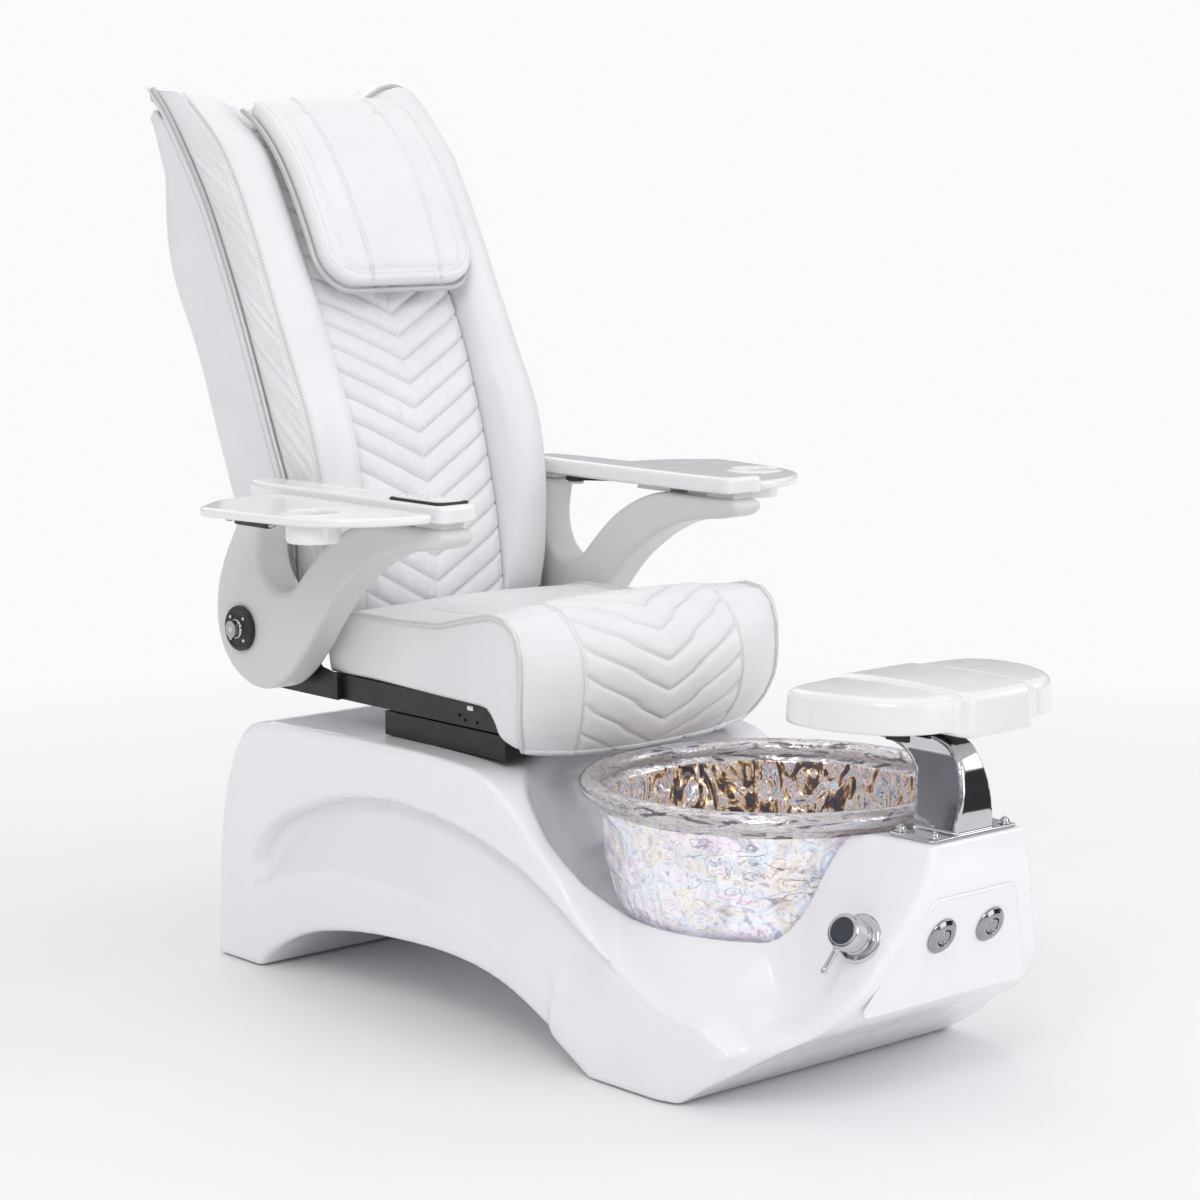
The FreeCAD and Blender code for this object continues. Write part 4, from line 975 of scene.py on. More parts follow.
def subdivide(V, Q, *attrs):
    E = np.sort(np.vstack([Q[:, [0, 1]], Q[:, [1, 2]], Q[:, [2, 3]], Q[:, [3, 0]]]), 1)
    U, inv = np.unique(E, axis=0, return_inverse=True)
    inv = inv.reshape(4, len(Q)).T + len(V)
    fc = np.arange(len(Q)) + len(V) + len(U)
    def up(A):
        return np.vstack([A, A[U].mean(1), A[Q].mean(1)])
    Q2 = np.vstack([np.stack([Q[:, k], inv[:, k], fc, inv[:, k - 1]], -1) for k in range(4)])
    return (up(V), Q2) + tuple(up(a) for a in attrs)


def vert_normals(V, Q):
    n = np.cross(V[Q[:, 2]] - V[Q[:, 0]], V[Q[:, 3]] - V[Q[:, 1]])
    N = np.zeros_like(V)
    for k in range(4):
        for a in range(3):
            N[:, a] += np.bincount(Q[:, k], n[:, a], len(V))
    N /= np.maximum(np.linalg.norm(N, axis=1, keepdims=True), 1e-12)
    vol = (V[Q[:, 0]] * n).sum()
    return N if vol > 0 else -N


SEAT_T = [(392, 604), (329, 619), (185, 621), (80, 629), (10, 646), (-50, 658), (-84, 654), (-106, 636), (-116, 604), (-118, 560), (-114, 520), (-104, 488), (-93, 466), (-84, 452)]
SEAT_B = [(384, 517), (330, 517), (200, 517), (90, 517), (20, 517), (-14, 516.5), (-32, 514), (-44, 504), (-52, 494), (-58, 484), (-64, 474), (-70, 464), (-76, 456), (-82, 451.5)]


def build_seat():
    N = 240
    def chain(pts):
        P = np.array(pts, float)
        k = np.arange(len(P)); kk = np.linspace(0, len(P) - 1, 1400)
        C = np.stack([np.interp(kk, k, P[:, a]) for a in (0, 1)], -1)
        for _ in range(60):
            C[1:-1] = 0.25 * C[:-2] + 0.5 * C[1:-1] + 0.25 * C[2:]
        return C
    Tc, Bc = chain(SEAT_T), chain(SEAT_B)
    s = arclen(Tc); sn = np.linspace(0, s[-1], N)
    ii = np.interp(sn, s, np.arange(len(s)))
    T = np.stack([np.interp(ii, np.arange(len(s)), Tc[:, a]) for a in (0, 1)], -1)
    B = np.stack([np.interp(ii, np.arange(len(s)), Bc[:, a]) for a in (0, 1)], -1)
    d = np.gradient(T, axis=0); d /= np.linalg.norm(d, axis=1)[:, None]
    n2 = np.stack([d[:, 1], -d[:, 0]], -1)
    if n2[30, 1] < 0:
        n2 = -n2
    W = 249.0
    hwid = 250 + 19.5 * (1 - sstep(-40, 290, T[:, 0]))       # wider ahead of the armrests
    hwid -= 34 * np.clip((sn - (sn[-1] - 105)) / 105, 0, 1) ** 2.2      # rounded lower corners
    MX = 168; K = 28
    x = np.linspace(-W, W, MX)
    # crown of the front and top between the piped edges
    fc = sstep(478, 580, sn) * (1 - 0.35 * sstep(sn[-1] - 70, sn[-1], sn))
    u = 1 - (x / W) ** 2
    P = np.zeros((N, MX + 2 * K + 12, 3))
    crown = (40 * fc + 7 * (1 - fc) * sstep(0, 120, sn))[:, None] * (u[None] ** 0.62)
    crown -= (16 * sstep(60, 160, sn) * (1 - sstep(300, 420, sn)))[:, None] * np.exp(-(x[None] / 150) ** 2)
    P[:, :MX, 0] = x[None] * (hwid / W)[:, None]
    P[:, :MX, 1] = T[:, None, 0] + n2[:, None, 0] * crown
    P[:, :MX, 2] = T[:, None, 1] + n2[:, None, 1] * crown
    v = np.linspace(0, 1, K + 2)[1:-1]
    for k, (c0, sg) in enumerate(((MX, 1), (MX + K + 12, -1))):
        for a, vv in enumerate(v if sg > 0 else v[::-1]):
            q = T * (1 - vv) + B * vv
            bul = 3.0 * math.sin(math.pi * vv) ** 0.6
            P[:, c0 + a, 0] = sg * (hwid + bul - 2 * vv)
            P[:, c0 + a, 1:] = q
    for a, xx in enumerate(np.linspace(0.985, -0.985, 12)):
        P[:, MX + K + a, 0] = xx * hwid
        P[:, MX + K + a, 1:] = B
    L = P.shape[1]
    def pins(a, b):
        jj = b * L
        p = np.zeros((len(a), len(b)))
        near = (np.minimum(np.abs(jj - 0), np.abs(jj - L)) < 2.1) | (np.abs(jj - (MX - 1)) < 2.1) | ((jj > MX + K - 3) & (jj < MX + K + 14))
        p[:, near] = 1
        p[0] = p[-1] = 1
        return p
    P = swell_grid(P, pins, 7, k=4)
    n = grid_normals(P)
    X = np.broadcast_to(x[None], (N, MX)); S = np.broadcast_to(sn[:, None], (N, MX))
    sf = S - 440.0                                     # about where the top turns into the front
    ph, f = chevron(-S, X, 41.0, 0.50)
    inside = 1 - sstep(146, 153, np.abs(X))
    front = sstep(-60, 30, sf)
    amp = 0.8 + 3.9 * front
    amp = amp * sstep(40, 160, S) * (1 - 0.7 * sstep(sn[-1] - 30, sn[-1], S))
    h = amp * (1 - np.abs(2 * f - 1) ** 3.8) * inside
    h -= (2.6 * front + 0.9) * np.exp(-(np.minimum(f, 1 - f) * 41 / 1.6) ** 2) * inside * sstep(40, 120, S)
    h -= 3.2 * np.exp(-((np.abs(X) - 153) / 2.2) ** 2) * sstep(120, 330, S)
    h += 1.6 * np.exp(-((np.abs(X) - 162) / 9) ** 2) * front
    # soft creases that run back over the top, on the right hand side most of all
    wr = vnoise(X / 16 + S / 60, S / 95, 31) * 2.6 + vnoise(X / 7, S / 60, 32) * 0.8
    h += wr * (1 - sstep(330, 430, S)) * sstep(20, 90, S) * np.exp(-((X + 60) / 120) ** 2)
    h += front * 0.5 * vnoise(X / 26, S / 30, 33) * inside
    P[:, :MX] += n[:, :MX] * h[..., None]
    make("seat_cushion_sewn", P.reshape(-1, 3), tube_faces(N, L), M["leather"], "seat", ("seat_cushion",), "upholstery")
    # piping on both long edges
    parts = []
    for j in (0, MX - 1):
        c = P[:, j] + n[:, j] * 1.0
        sg = -1 if j == 0 else 1
        c[:, 0] += sg * 1.5
        c, _ = resample(c[2:], step=4)
        parts.append(sweep(c, 4.6, 12))
    c = np.stack([P[N - 2, :MX, 0], P[N - 2, :MX, 1] + 1, P[N - 2, :MX, 2] - 1], -1)
    c, _ = resample(c, step=5)
    parts.append(sweep(c, 5.0, 12))
    V, F = join_meshes(parts)
    make("seat_piping", V, F, M["piping_light"], "seat", slot="upholstery")
    paths = []
    for xs in (-153, 153):
        for o in (-3.6, 3.6):
            j = (xs + o + W) / (2 * W) * (MX - 1)
            i = np.arange(int(N * 0.22), N - 3)
            paths.append((at(P, i, np.full(len(i), j)), at(n, i, np.full(len(i), j))))
    V, F = stitches(paths, 4.6, 3.2, 0.5)
    make("seat_stitching", V, F, M["thread"], "seat", slot="upholstery")
    return P


def build_cover():
    """rear cover: leather shell from one side piping round the rear to the other"""
    Nn = 150
    Pc, s = resample(catmull([(p[0] + 6, p[1] - 3) for p in PIPE], n=16), n=Nn)
    Rc, _ = resample(catmull(SHELL_R, n=16), n=Nn)
    M0 = 96
    t = np.linspace(0, 1, Nn)
    outer, inner = [], []
    for i in range(Nn):
        Q, R = Pc[i], Rc[i]
        d = R - Q; D = np.linalg.norm(d); u = d / max(D, 1e-6)
        r = min(58, D * 0.5)
        def path(w, back, rr):
            pts = [(-w, 0.0)]
            a0 = max(back - rr, back * 0.3)
            for k in np.linspace(0.25, 1, 5):
                pts.append((-w, a0 * k))
            for a in np.linspace(0, 90, 9)[1:]:
                a = math.radians(a)
                pts.append((-w + rr * (1 - math.cos(a)), a0 + (back - a0) * math.sin(a)))
            for k in (0.66, 0.33):
                pts.append((-(w - rr) * k, back + 5 * (1 - k)))
            pts += [(0, back + 6)] + [(-x, y) for x, y in pts[::-1]]
            q, _ = resample(np.array(pts), n=M0)
            return q
        q = path(250.0, D, r)
        # slack leather draws in a little half way down the side
        outer.append(np.stack([q[:, 0], Q[0] + u[0] * q[:, 1], Q[1] + u[1] * q[:, 1]], -1))
        q = path(244.0, D - 6, max(r - 5, 4))
        inner.append(np.stack([q[:, 0], Q[0] + u[0] * q[:, 1], Q[1] + u[1] * q[:, 1]], -1)[::-1])
    O = np.array(outer); I = np.array(inner)
    P = np.concatenate([O, I], 1)
    n = grid_normals(P)
    S = np.broadcast_to(s[:, None], (Nn, M0)); J = np.broadcast_to(np.arange(M0)[None], (Nn, M0))
    e = np.minimum(J, M0 - 1 - J) / (M0 - 1) * 2
    k = sstep(0.03, 0.12, e) * sstep(0, 0.06, t)[:, None] * (1 - sstep(0.95, 1, t))[:, None]
    fold = np.exp(-((S / 330 - (1 - e * 1.4)) / 0.11) ** 2) * (1 - sstep(260, 380, S))
    h = k * (3.4 * vnoise(S / 150, e * 3, 41) + 1.2 * vnoise(S / 46, e * 7 + S / 200, 42) - 4.0 * fold)
    P[:, :M0] += n[:, :M0] * h[..., None]
    P = saddle(P)
    # the corners of the cover sit lower than the piping and sag in a little
    k = sstep(0.90, 1.0, t)[:, None] * sstep(150, 240, np.abs(P[:, :, 0]))
    P[:, :, 2] -= 34 * k
    P[:, :, 0] -= np.sign(P[:, :, 0]) * 6 * k
    make("rear_cover_leather", P.reshape(-1, 3), tube_faces(Nn, P.shape[1]), M["boxing"], "back", ("back_cover",), "upholstery")
    # side piping, zip tape and zip line, both sides
    parts, tape, zips = [], [], []
    for sx in (-1, 1):
        c = np.stack([np.full(Nn, sx * 252.5), Pc[:, 0] - 4, Pc[:, 1] + 2], -1)
        c, _ = resample(c, step=6)
        parts.append(sweep(c[9:], 5.2, 12))
        d = Rc - Pc; d /= np.linalg.norm(d, axis=1)[:, None]
        c2 = np.stack([np.full(Nn, sx * 251.0), Pc[:, 0] + d[:, 0] * 12, Pc[:, 1] + d[:, 1] * 12], -1)
        zips.append((c2, np.tile([sx * 1.0, 0, 0], (Nn, 1))))
        zips.append((np.stack([c2[:, 0], Pc[:, 0] + d[:, 0] * 20, Pc[:, 1] + d[:, 1] * 20], -1), np.tile([sx * 1.0, 0, 0], (Nn, 1))))
        # flat tape, a rounded strip
        ring = []
        for w, o in ((4.5, 0.0), (5, 0.8), (8, 1.4), (14, 1.4), (17, 0.8), (17.5, 0.0), (12, -1.5)):
            ring.append(np.stack([np.full(Nn, sx * (250.4 + o)), Pc[:, 0] + d[:, 0] * w, Pc[:, 1] + d[:, 1] * w], -1))
        ring = np.stack(ring, 1)
        tape.append((ring.reshape(-1, 3), tube_faces(Nn, ring.shape[1])))
    # side piping, zip tape and zip stitching meshes, both sides
    V, F = join_meshes(parts); make("back_side_piping", V, F, M["piping"], "back", slot="upholstery")
    V, F = join_meshes(tape); make("back_zip_tape", V, F, M["boxing"], "back", slot="upholstery")
    V, F = stitches(zips, 3.6, 2.4, 0.7); make("back_zip_stitching", V, F, M["thread"], "back", slot="upholstery")
    # top closing panel between bolsters and rear cover
    x = np.linspace(-249, 249, 84)
    sec = catmull([(770, 1436), (786, 1450), (812, 1455), (850, 1457), (880, 1460), (893, 1452), (892, 1438), (850, 1434), (800, 1428)], closed=True, n=6)
    rows = []
    for xx in x:
        k = 1 - (abs(xx) / 249) ** 6
        c = sec.mean(0)
        q = (sec - c) * (0.82 + 0.18 * k) + c
        q[:, 1] += 4 * (1 - k) + 1.2 * vnoise(np.full(1, xx / 40), np.zeros(1), 44)[0]
        rows.append(np.stack([np.full(len(q), xx * 0.985), q[:, 0], q[:, 1]], -1))
    P2 = saddle(np.array(rows))
    make("back_top_panel", P2.reshape(-1, 3), tube_faces(*P2.shape[:2]), M["leather"], "back", slot="upholstery")
    parts = []
    for sx in (1,):
        c = catmull([(sx * 92, 806, 1459), (sx * 150, 806, 1459.5), (sx * 196, 803, 1459.5), (sx * 222, 798, 1455.5), (sx * 236, 793, 1448), (sx * 242, 789, 1438), (sx * 238, 786, 1424)], n=10)
        c, _ = resample(saddle(c), step=5)
        parts.append(sweep(c, 4.0, 12))
    V, F = join_meshes(parts)
    make("back_top_piping", V, F, M["piping"], "back", slot="upholstery")


import time
T0 = time.time()
build_back_panel(); print("panel", time.time() - T0)
for sx in (1, -1):
    build_bolster(sx)
print("bolsters", time.time() - T0)
build_pillow(); print("pillow", time.time() - T0)
build_seat(); print("seat", time.time() - T0)
build_cover(); print("cover", time.time() - T0)


# ------------------------------------------------------------- hard parts
FN = np.array([0, -0.94762, -0.31939]); FU = np.array([0, -0.31939, 0.94762]); FP = np.array([0, -772.42, 265.0])
MIXN = np.array([0.895, -0.12, 0.43]); MIXN /= np.linalg.norm(MIXN)
MIXP = np.array([153.0, -715, 266])
MN = MIXN * [-1, 1, 1]; MP = MIXP * [-1, 1, 1]


def chaikin(P, it=2, closed=True):
    P = np.asarray(P, float)
    for _ in range(it):
        Q = np.roll(P, -1, 0)
        P = np.stack([0.75 * P + 0.25 * Q, 0.25 * P + 0.75 * Q], 1).reshape(-1, 2)
    return P


def pnoise(u, v, n, seed=0):
    """value noise with period n along u"""
    u = u % n; ui = np.floor(u).astype(int); vi = np.floor(v).astype(int)
    fu, fv = u - ui, v - vi
    fu, fv = fu * fu * (3 - 2 * fu), fv * fv * (3 - 2 * fv)
    g = lambda a, b: LAT[(a % n + seed * 31) % 256, (b + seed * 57) % 256]
    return (g(ui, vi) * (1 - fu) + g(ui + 1, vi) * fu) * (1 - fv) + (g(ui, vi + 1) * (1 - fu) + g(ui + 1, vi + 1) * fu) * fv - 0.5


def build_bowl():
    outer = [(26, 186), (106, 186), (165, 196), (186, 208), (206, 217), (231, 238), (243, 269), (252, 301), (259, 341), (265, 369), (273, 396)]
    inner = [(255, 400), (250, 369), (244, 341), (237, 303), (228, 273), (217, 249), (196, 231), (160, 211), (106, 198), (26, 198)]
    oc, _ = resample(catmull(outer, n=8), step=3.4)
    ic, _ = resample(catmull(inner, n=8), step=3.6)
    rim = []
    for a in np.linspace(-100, 235, 26):
        a = math.radians(a)
        rim.append((278.5 + 18.5 * math.cos(a), 418.0 + 13.6 * math.sin(a)))
    prof = np.vstack([oc, rim, ic])
    n = 420
    th = np.arange(n) * 2 * np.pi / n
    T = np.gradient(prof, axis=0); T /= np.linalg.norm(T, axis=1)[:, None]
    nrm = np.stack([T[:, 1], -T[:, 0]], -1)
    s = arclen(prof)
    U = th[None] / (2 * np.pi); S = s[:, None]
    no, nr = len(oc), len(rim)
    w = np.ones(len(prof)); w[no:no + nr] = 0.12
    w[:6] = 0; w[-8:] = 0
    w = np.convolve(np.pad(w, 4, mode="edge"), np.ones(9) / 9, "valid")
    warp = 9 * pnoise(U * 46, S / 34, 46, 1)
    h = 5.4 * pnoise(U * 60 + warp * 0.10, (S + warp) / 27, 60, 2) + 3.2 * pnoise(U * 118 + 0.2 * warp, S / 15, 118, 3) + 1.2 * pnoise(U * 200, S / 8.5, 200, 4)
    h = np.sign(h) * np.abs(h) ** 0.85
    h *= w[:, None]
    h[no + nr:] = np.clip(h[no + nr:] * 0.8, -2.2, 2.2); h[:no] = np.clip(h[:no], -3.0, 3.0)
    R = prof[:, 0][:, None] + nrm[:, 0][:, None] * h; Z = prof[:, 1][:, None] + nrm[:, 1][:, None] * h
    V = np.stack([R * np.cos(th)[None], -390 + R * np.sin(th)[None], Z], -1)
    N = len(prof)
    i = np.arange(N)[:, None]; j = np.arange(n)[None]
    a = i * n + j; b = i * n + (j + 1) % n; i2 = (i + 1) % N
    F = np.stack([a, b, i2 * n + (j + 1) % n, i2 * n + j], -1).reshape(-1, 4)
    o = make("bowl_hammered_glass", V.reshape(-1, 3), F, M["glass"], "base", ("bowl",), "glass")
    o.data.materials.append(M["glass_in"]); o.data.materials.append(M["glass_rim"])
    row = np.arange(N)
    kind = np.where(row < no - 2, 0, np.where(row < no + nr, 2, 1))
    o.data.polygons.foreach_set("material_index", np.repeat(kind, n).astype(np.int32))


def face_pt(x, u, o):
    return FP + np.array([x, 0, 0]) + FU * u + FN * o


def build_panel():
    P = np.array([(-178, -113), (178, -113), (86, 63), (-86, 63)], float)
    out = []
    for i in range(4):
        a, b, c = P[i - 1], P[i], P[(i + 1) % 4]
        d1, d2 = (a - b) / np.linalg.norm(a - b), (c - b) / np.linalg.norm(c - b)
        k = 20 if i < 2 else 13
        p, q = b + d1 * k, b + d2 * k
        for t in np.linspace(0, 1, 9):
            out.append((1 - t) ** 2 * p + 2 * t * (1 - t) * b + t * t * q)
    L, _ = resample(np.vstack([out, out[:1]]), step=4)
    L = L[:-1]
    T = np.roll(L, -1, 0) - np.roll(L, 1, 0); T /= np.linalg.norm(T, axis=1)[:, None]
    n = np.stack([T[:, 1], -T[:, 0]], -1)
    rings = []
    for ins, o in ((0.0, -3.0), (0.0, 0.5), (0.5, 1.1), (1.2, 1.35), (3.0, 1.35), (3.8, 1.1), (4.4, 0.55), (6.0, 0.45)):
        Q = L - n * ins
        rings.append(np.array([face_pt(x, u, o) for x, u in Q]))
    V = np.vstack(rings); k = len(L); F = []
    for r in range(len(rings) - 1):
        for j in range(k):
            F.append([r * k + j, r * k + (j + 1) % k, (r + 1) * k + (j + 1) % k, (r + 1) * k + j])
    F.append(list(range(k))[::-1]); F.append([(len(rings) - 1) * k + j for j in range(k)])
    o = make("console_front_panel", V, F, M["shell"], "base", ("console_panel",), "white_panel")
    return o


def build_buttons():
    parts = []
    for x in (-51, 51):
        prof = round_prof([(14.5, -2), (27.5, -2), (27.5, 2.6), (21.5, 7.2), (17.6, 8.2), (13.2, 7.4), (12.4, 3.5), (12.4, -2)], 1.6)[:-1]
        parts.append(lathe(prof, face_pt(x, 0, 0.6), FN, 72))
    V, F = join_meshes(parts); make("button_bezel_rings", V, F, M["chrome_dark"], "base", ("button_bezels",), "chrome")
    for x, nm in ((-51, "right"), (51, "left")):
        prof = round_prof([(0, 6.6), (4.2, 6.6), (5.2, 5.7), (7.2, 5.7), (8.2, 6.7), (10.6, 6.4), (11.7, 5.2), (11.9, -9), (0, -9)], 0.7, 3)
        V, F = lathe(prof, face_pt(x, 0, 0.6), FN, 64)
        make("push_button_" + nm, V, F, M["chrome_dark"], "button_" + nm, ("button_" + nm,), "chrome")


def build_mixer():
    V, F = lathe(round_prof([(16.8, -6), (36, -6), (36, 6.2), (33.5, 8.6), (25, 10.6), (16.8, 11)], 1.8), MP + MN * 1.0, MN, 80)
    make("mixer_escutcheon_ring", V, F, M["chrome"], "base", ("mixer_escutcheon",), "chrome")
    prof = round_prof([(17.0, 12.8), (25.2, 12.8), (26, 14.4), (26, 19), (25.0, 19.8), (25.0, 21), (26, 21.8), (26, 47.5), (24.5, 50.2), (20.4, 51.2), (0, 51.2), (0, 33), (17.0, 33)], 0.8, 3)
    prof = [p for p in prof]
    A = lathe(prof[:-1], MP, MN, 80)
    lev = np.cross(MN, [0, 0.9, 0.25]); lev /= np.linalg.norm(lev)
    if lev[2] > 0:
        lev = -lev
    c = MP + MN * 41
    L = lathe(round_prof([(0, 20), (6.0, 22), (6.0, 27.5), (4.3, 29.5), (4.3, 58), (4.9, 59.5), (4.9, 65), (0, 66.5)], 0.9, 3), c, lev, 24)
    V, F = join_meshes([A, L])
    make("mixer_turret_chrome", V, F, M["chrome"], "mixer", ("mixer_turret",), "chrome")
    V, F = lathe(round_prof([(0, 52.6), (13, 52.9), (18.6, 52.3), (19.8, 51.4), (19.8, 49.5), (0, 49.5)], 0.8, 3), MP, MN, 64)
    make("mixer_end_disc", V, F, M["smoke"], "mixer", slot="chrome")
    # pull-out spray head on the other side
    V, F = lathe(round_prof([(9.2, -8), (24.5, -8), (24.5, 6.8), (21.5, 9.8), (18.2, 10.3), (9.2, 10.3)], 1.6), MIXP + MIXN * 0.5, MIXN, 72)
    make("spray_holder_ring", V, F, M["chrome"], "base", ("spray_holder",), "chrome")
    prof = round_prof([(0, 44.0), (9.5, 44.0), (11.2, 43.0), (13.4, 43.4), (15.5, 40.5), (17.2, 35), (17.2, 24), (16.0, 22.6), (16.0, 21), (17.2, 19.6), (17.2, 11.6), (8.0, 11.2), (8.0, -80), (0, -80)], 0.9, 3)
    V, F = lathe(prof, MIXP, MIXN, 72)
    make("spray_head_chrome", V, F, M["chrome"], "spray", ("spray_head",), "chrome")


BR = [(-706, 409), (-786, 409), (-790, 440), (-789, 470), (-781, 500), (-768, 524), (-750, 537), (-700, 547), (-660, 547), (-606, 534), (-604, 527), (-640, 522), (-676, 508), (-696, 488), (-704, 462)]


def build_footrest():
    poly = catmull(BR[1:-1], n=5)
    poly = np.vstack([[(-706, 404)], [(-786, 404)], poly])
    def col(X, Y, Z):
        d = sdf_poly(poly, Y[0], Z[0])
        w = 41.5 - 0.172 * np.clip(Z - 409, 0, 110)
        f = rmax(np.broadcast_to(d[None], X.shape), np.abs(X) - w, 5.5)
        pl = rmax(rmax(np.abs(X) - 90, np.abs(Y + 745) - 45, 10), np.abs(Z - 406.6) - 2.6, 1.4)
        return smin(f, pl, 2.0)
    sdf_piece("footrest_column", col, (-91, -792, 403), (91, -602, 549), 2.7, M["chrome"], "base", 2, replaces=("footrest_bracket",), slot="chrome")
    parts = []
    for x in (-74, 74):
        for y in (-778, -714):
            parts.append(lathe(round_prof([(0, 15.2), (3.0, 15.2), (3.0, 13.4), (3.1, 13.4), (6.2, 12.6), (7.2, 9.5), (7.2, 7.6), (9.6, 7.2), (9.6, 5.4), (0, 5.4)], 0.7, 3), np.array([x, y, 404.0]), (0, 0, 1), 36))
    V, F = join_meshes(parts); make("footrest_bolt_heads", V, F, M["chrome"], "base", ("footrest_bolts",), "chrome")

    P = [(-100, -586), (-160, -588), (-194, -598), (-209, -626), (-213, -668), (-204, -720), (-185, -762), (-158, -795), (-120, -812), (-88, -816), (-76, -824), (-62, -834), (0, -838)]
    P = rounded_poly(P + [(-x, y) for x, y in P[::-1] if x], 26, 5)
    def pad(X, Y, Z):
        d = sdf_poly(P, X[:, :, 0], Y[:, :, 0])
        ax = np.abs(X[:, :, 0])
        y = Y[:, :, 0]
        top = 620.0 - 3.5 * (ax / 205) ** 2.2 - 5.0 * ((y + 705) / 125) ** 2 + 3.4 * (1 - sstep(66, 78, ax))
        gx = 77 + 0.03 * (y + 700)
        g = 4.4 * np.exp(-((ax - gx) / 3.2) ** 2)
        wall = np.broadcast_to(d[:, :, None], X.shape) + g[:, :, None] * 0.7 + 0.055 * (Z - 556)
        bot = 557.0 + 9 * sstep(66, 92, ax)
        f = rmax(wall, (Z - (top - g)[:, :, None]) * 0.98, 12)
        f = rmax(f, bot[:, :, None] - Z, 4)
        return f
    sdf_piece("footrest_moulded_pad", pad, (-216, -842, 556), (216, -584, 626), 3.6, M["pad"], "footrest", 2, replaces=("footrest_pad",), slot="pad_plastic")


ARM = [(410, 500), (445, 487), (490, 488), (535, 508), (568, 542), (584, 590), (580, 645), (560, 695), (532, 738), (512, 770), (505, 790),
       (446, 790), (456, 752), (459, 716), (448, 680), (425, 658), (396, 652), (366, 664), (338, 692), (300, 728), (262, 755), (215, 777), (170, 790),
       (-8, 790), (-18, 784), (-20, 774), (-8, 763), (22, 756), (75, 751), (130, 738), (185, 712), (250, 667), (295, 618), (338, 565), (375, 526)]
PADXY = [(262, -14), (330, -20), (339, -14), (340, 60), (340, 260), (337, 440), (326, 500), (276, 500), (268, 420), (260, 260), (257, 60)]
TRAY = [(342, -8), (380, -6), (424, 4), (470, 30), (505, 66), (526, 110), (540, 180), (556, 296), (548, 316), (480, 372), (430, 386), (342, 392)]
RC = (264, 328, 2, 132)
CUP = (468.0, 132.0)


def rounded_poly(P, r, n=6):
    P = np.asarray(P, float); out = []
    for i in range(len(P)):
        a, b, c = P[i - 1], P[i], P[(i + 1) % len(P)]
        l1, l2 = np.linalg.norm(a - b), np.linalg.norm(c - b)
        k = min(r, l1 * 0.48, l2 * 0.48)
        p, q = b + (a - b) / l1 * k, b + (c - b) / l2 * k
        for t in np.linspace(0, 1, n):
            out.append((1 - t) ** 2 * p + 2 * t * (1 - t) * b + t * t * q)
    return np.array(out)


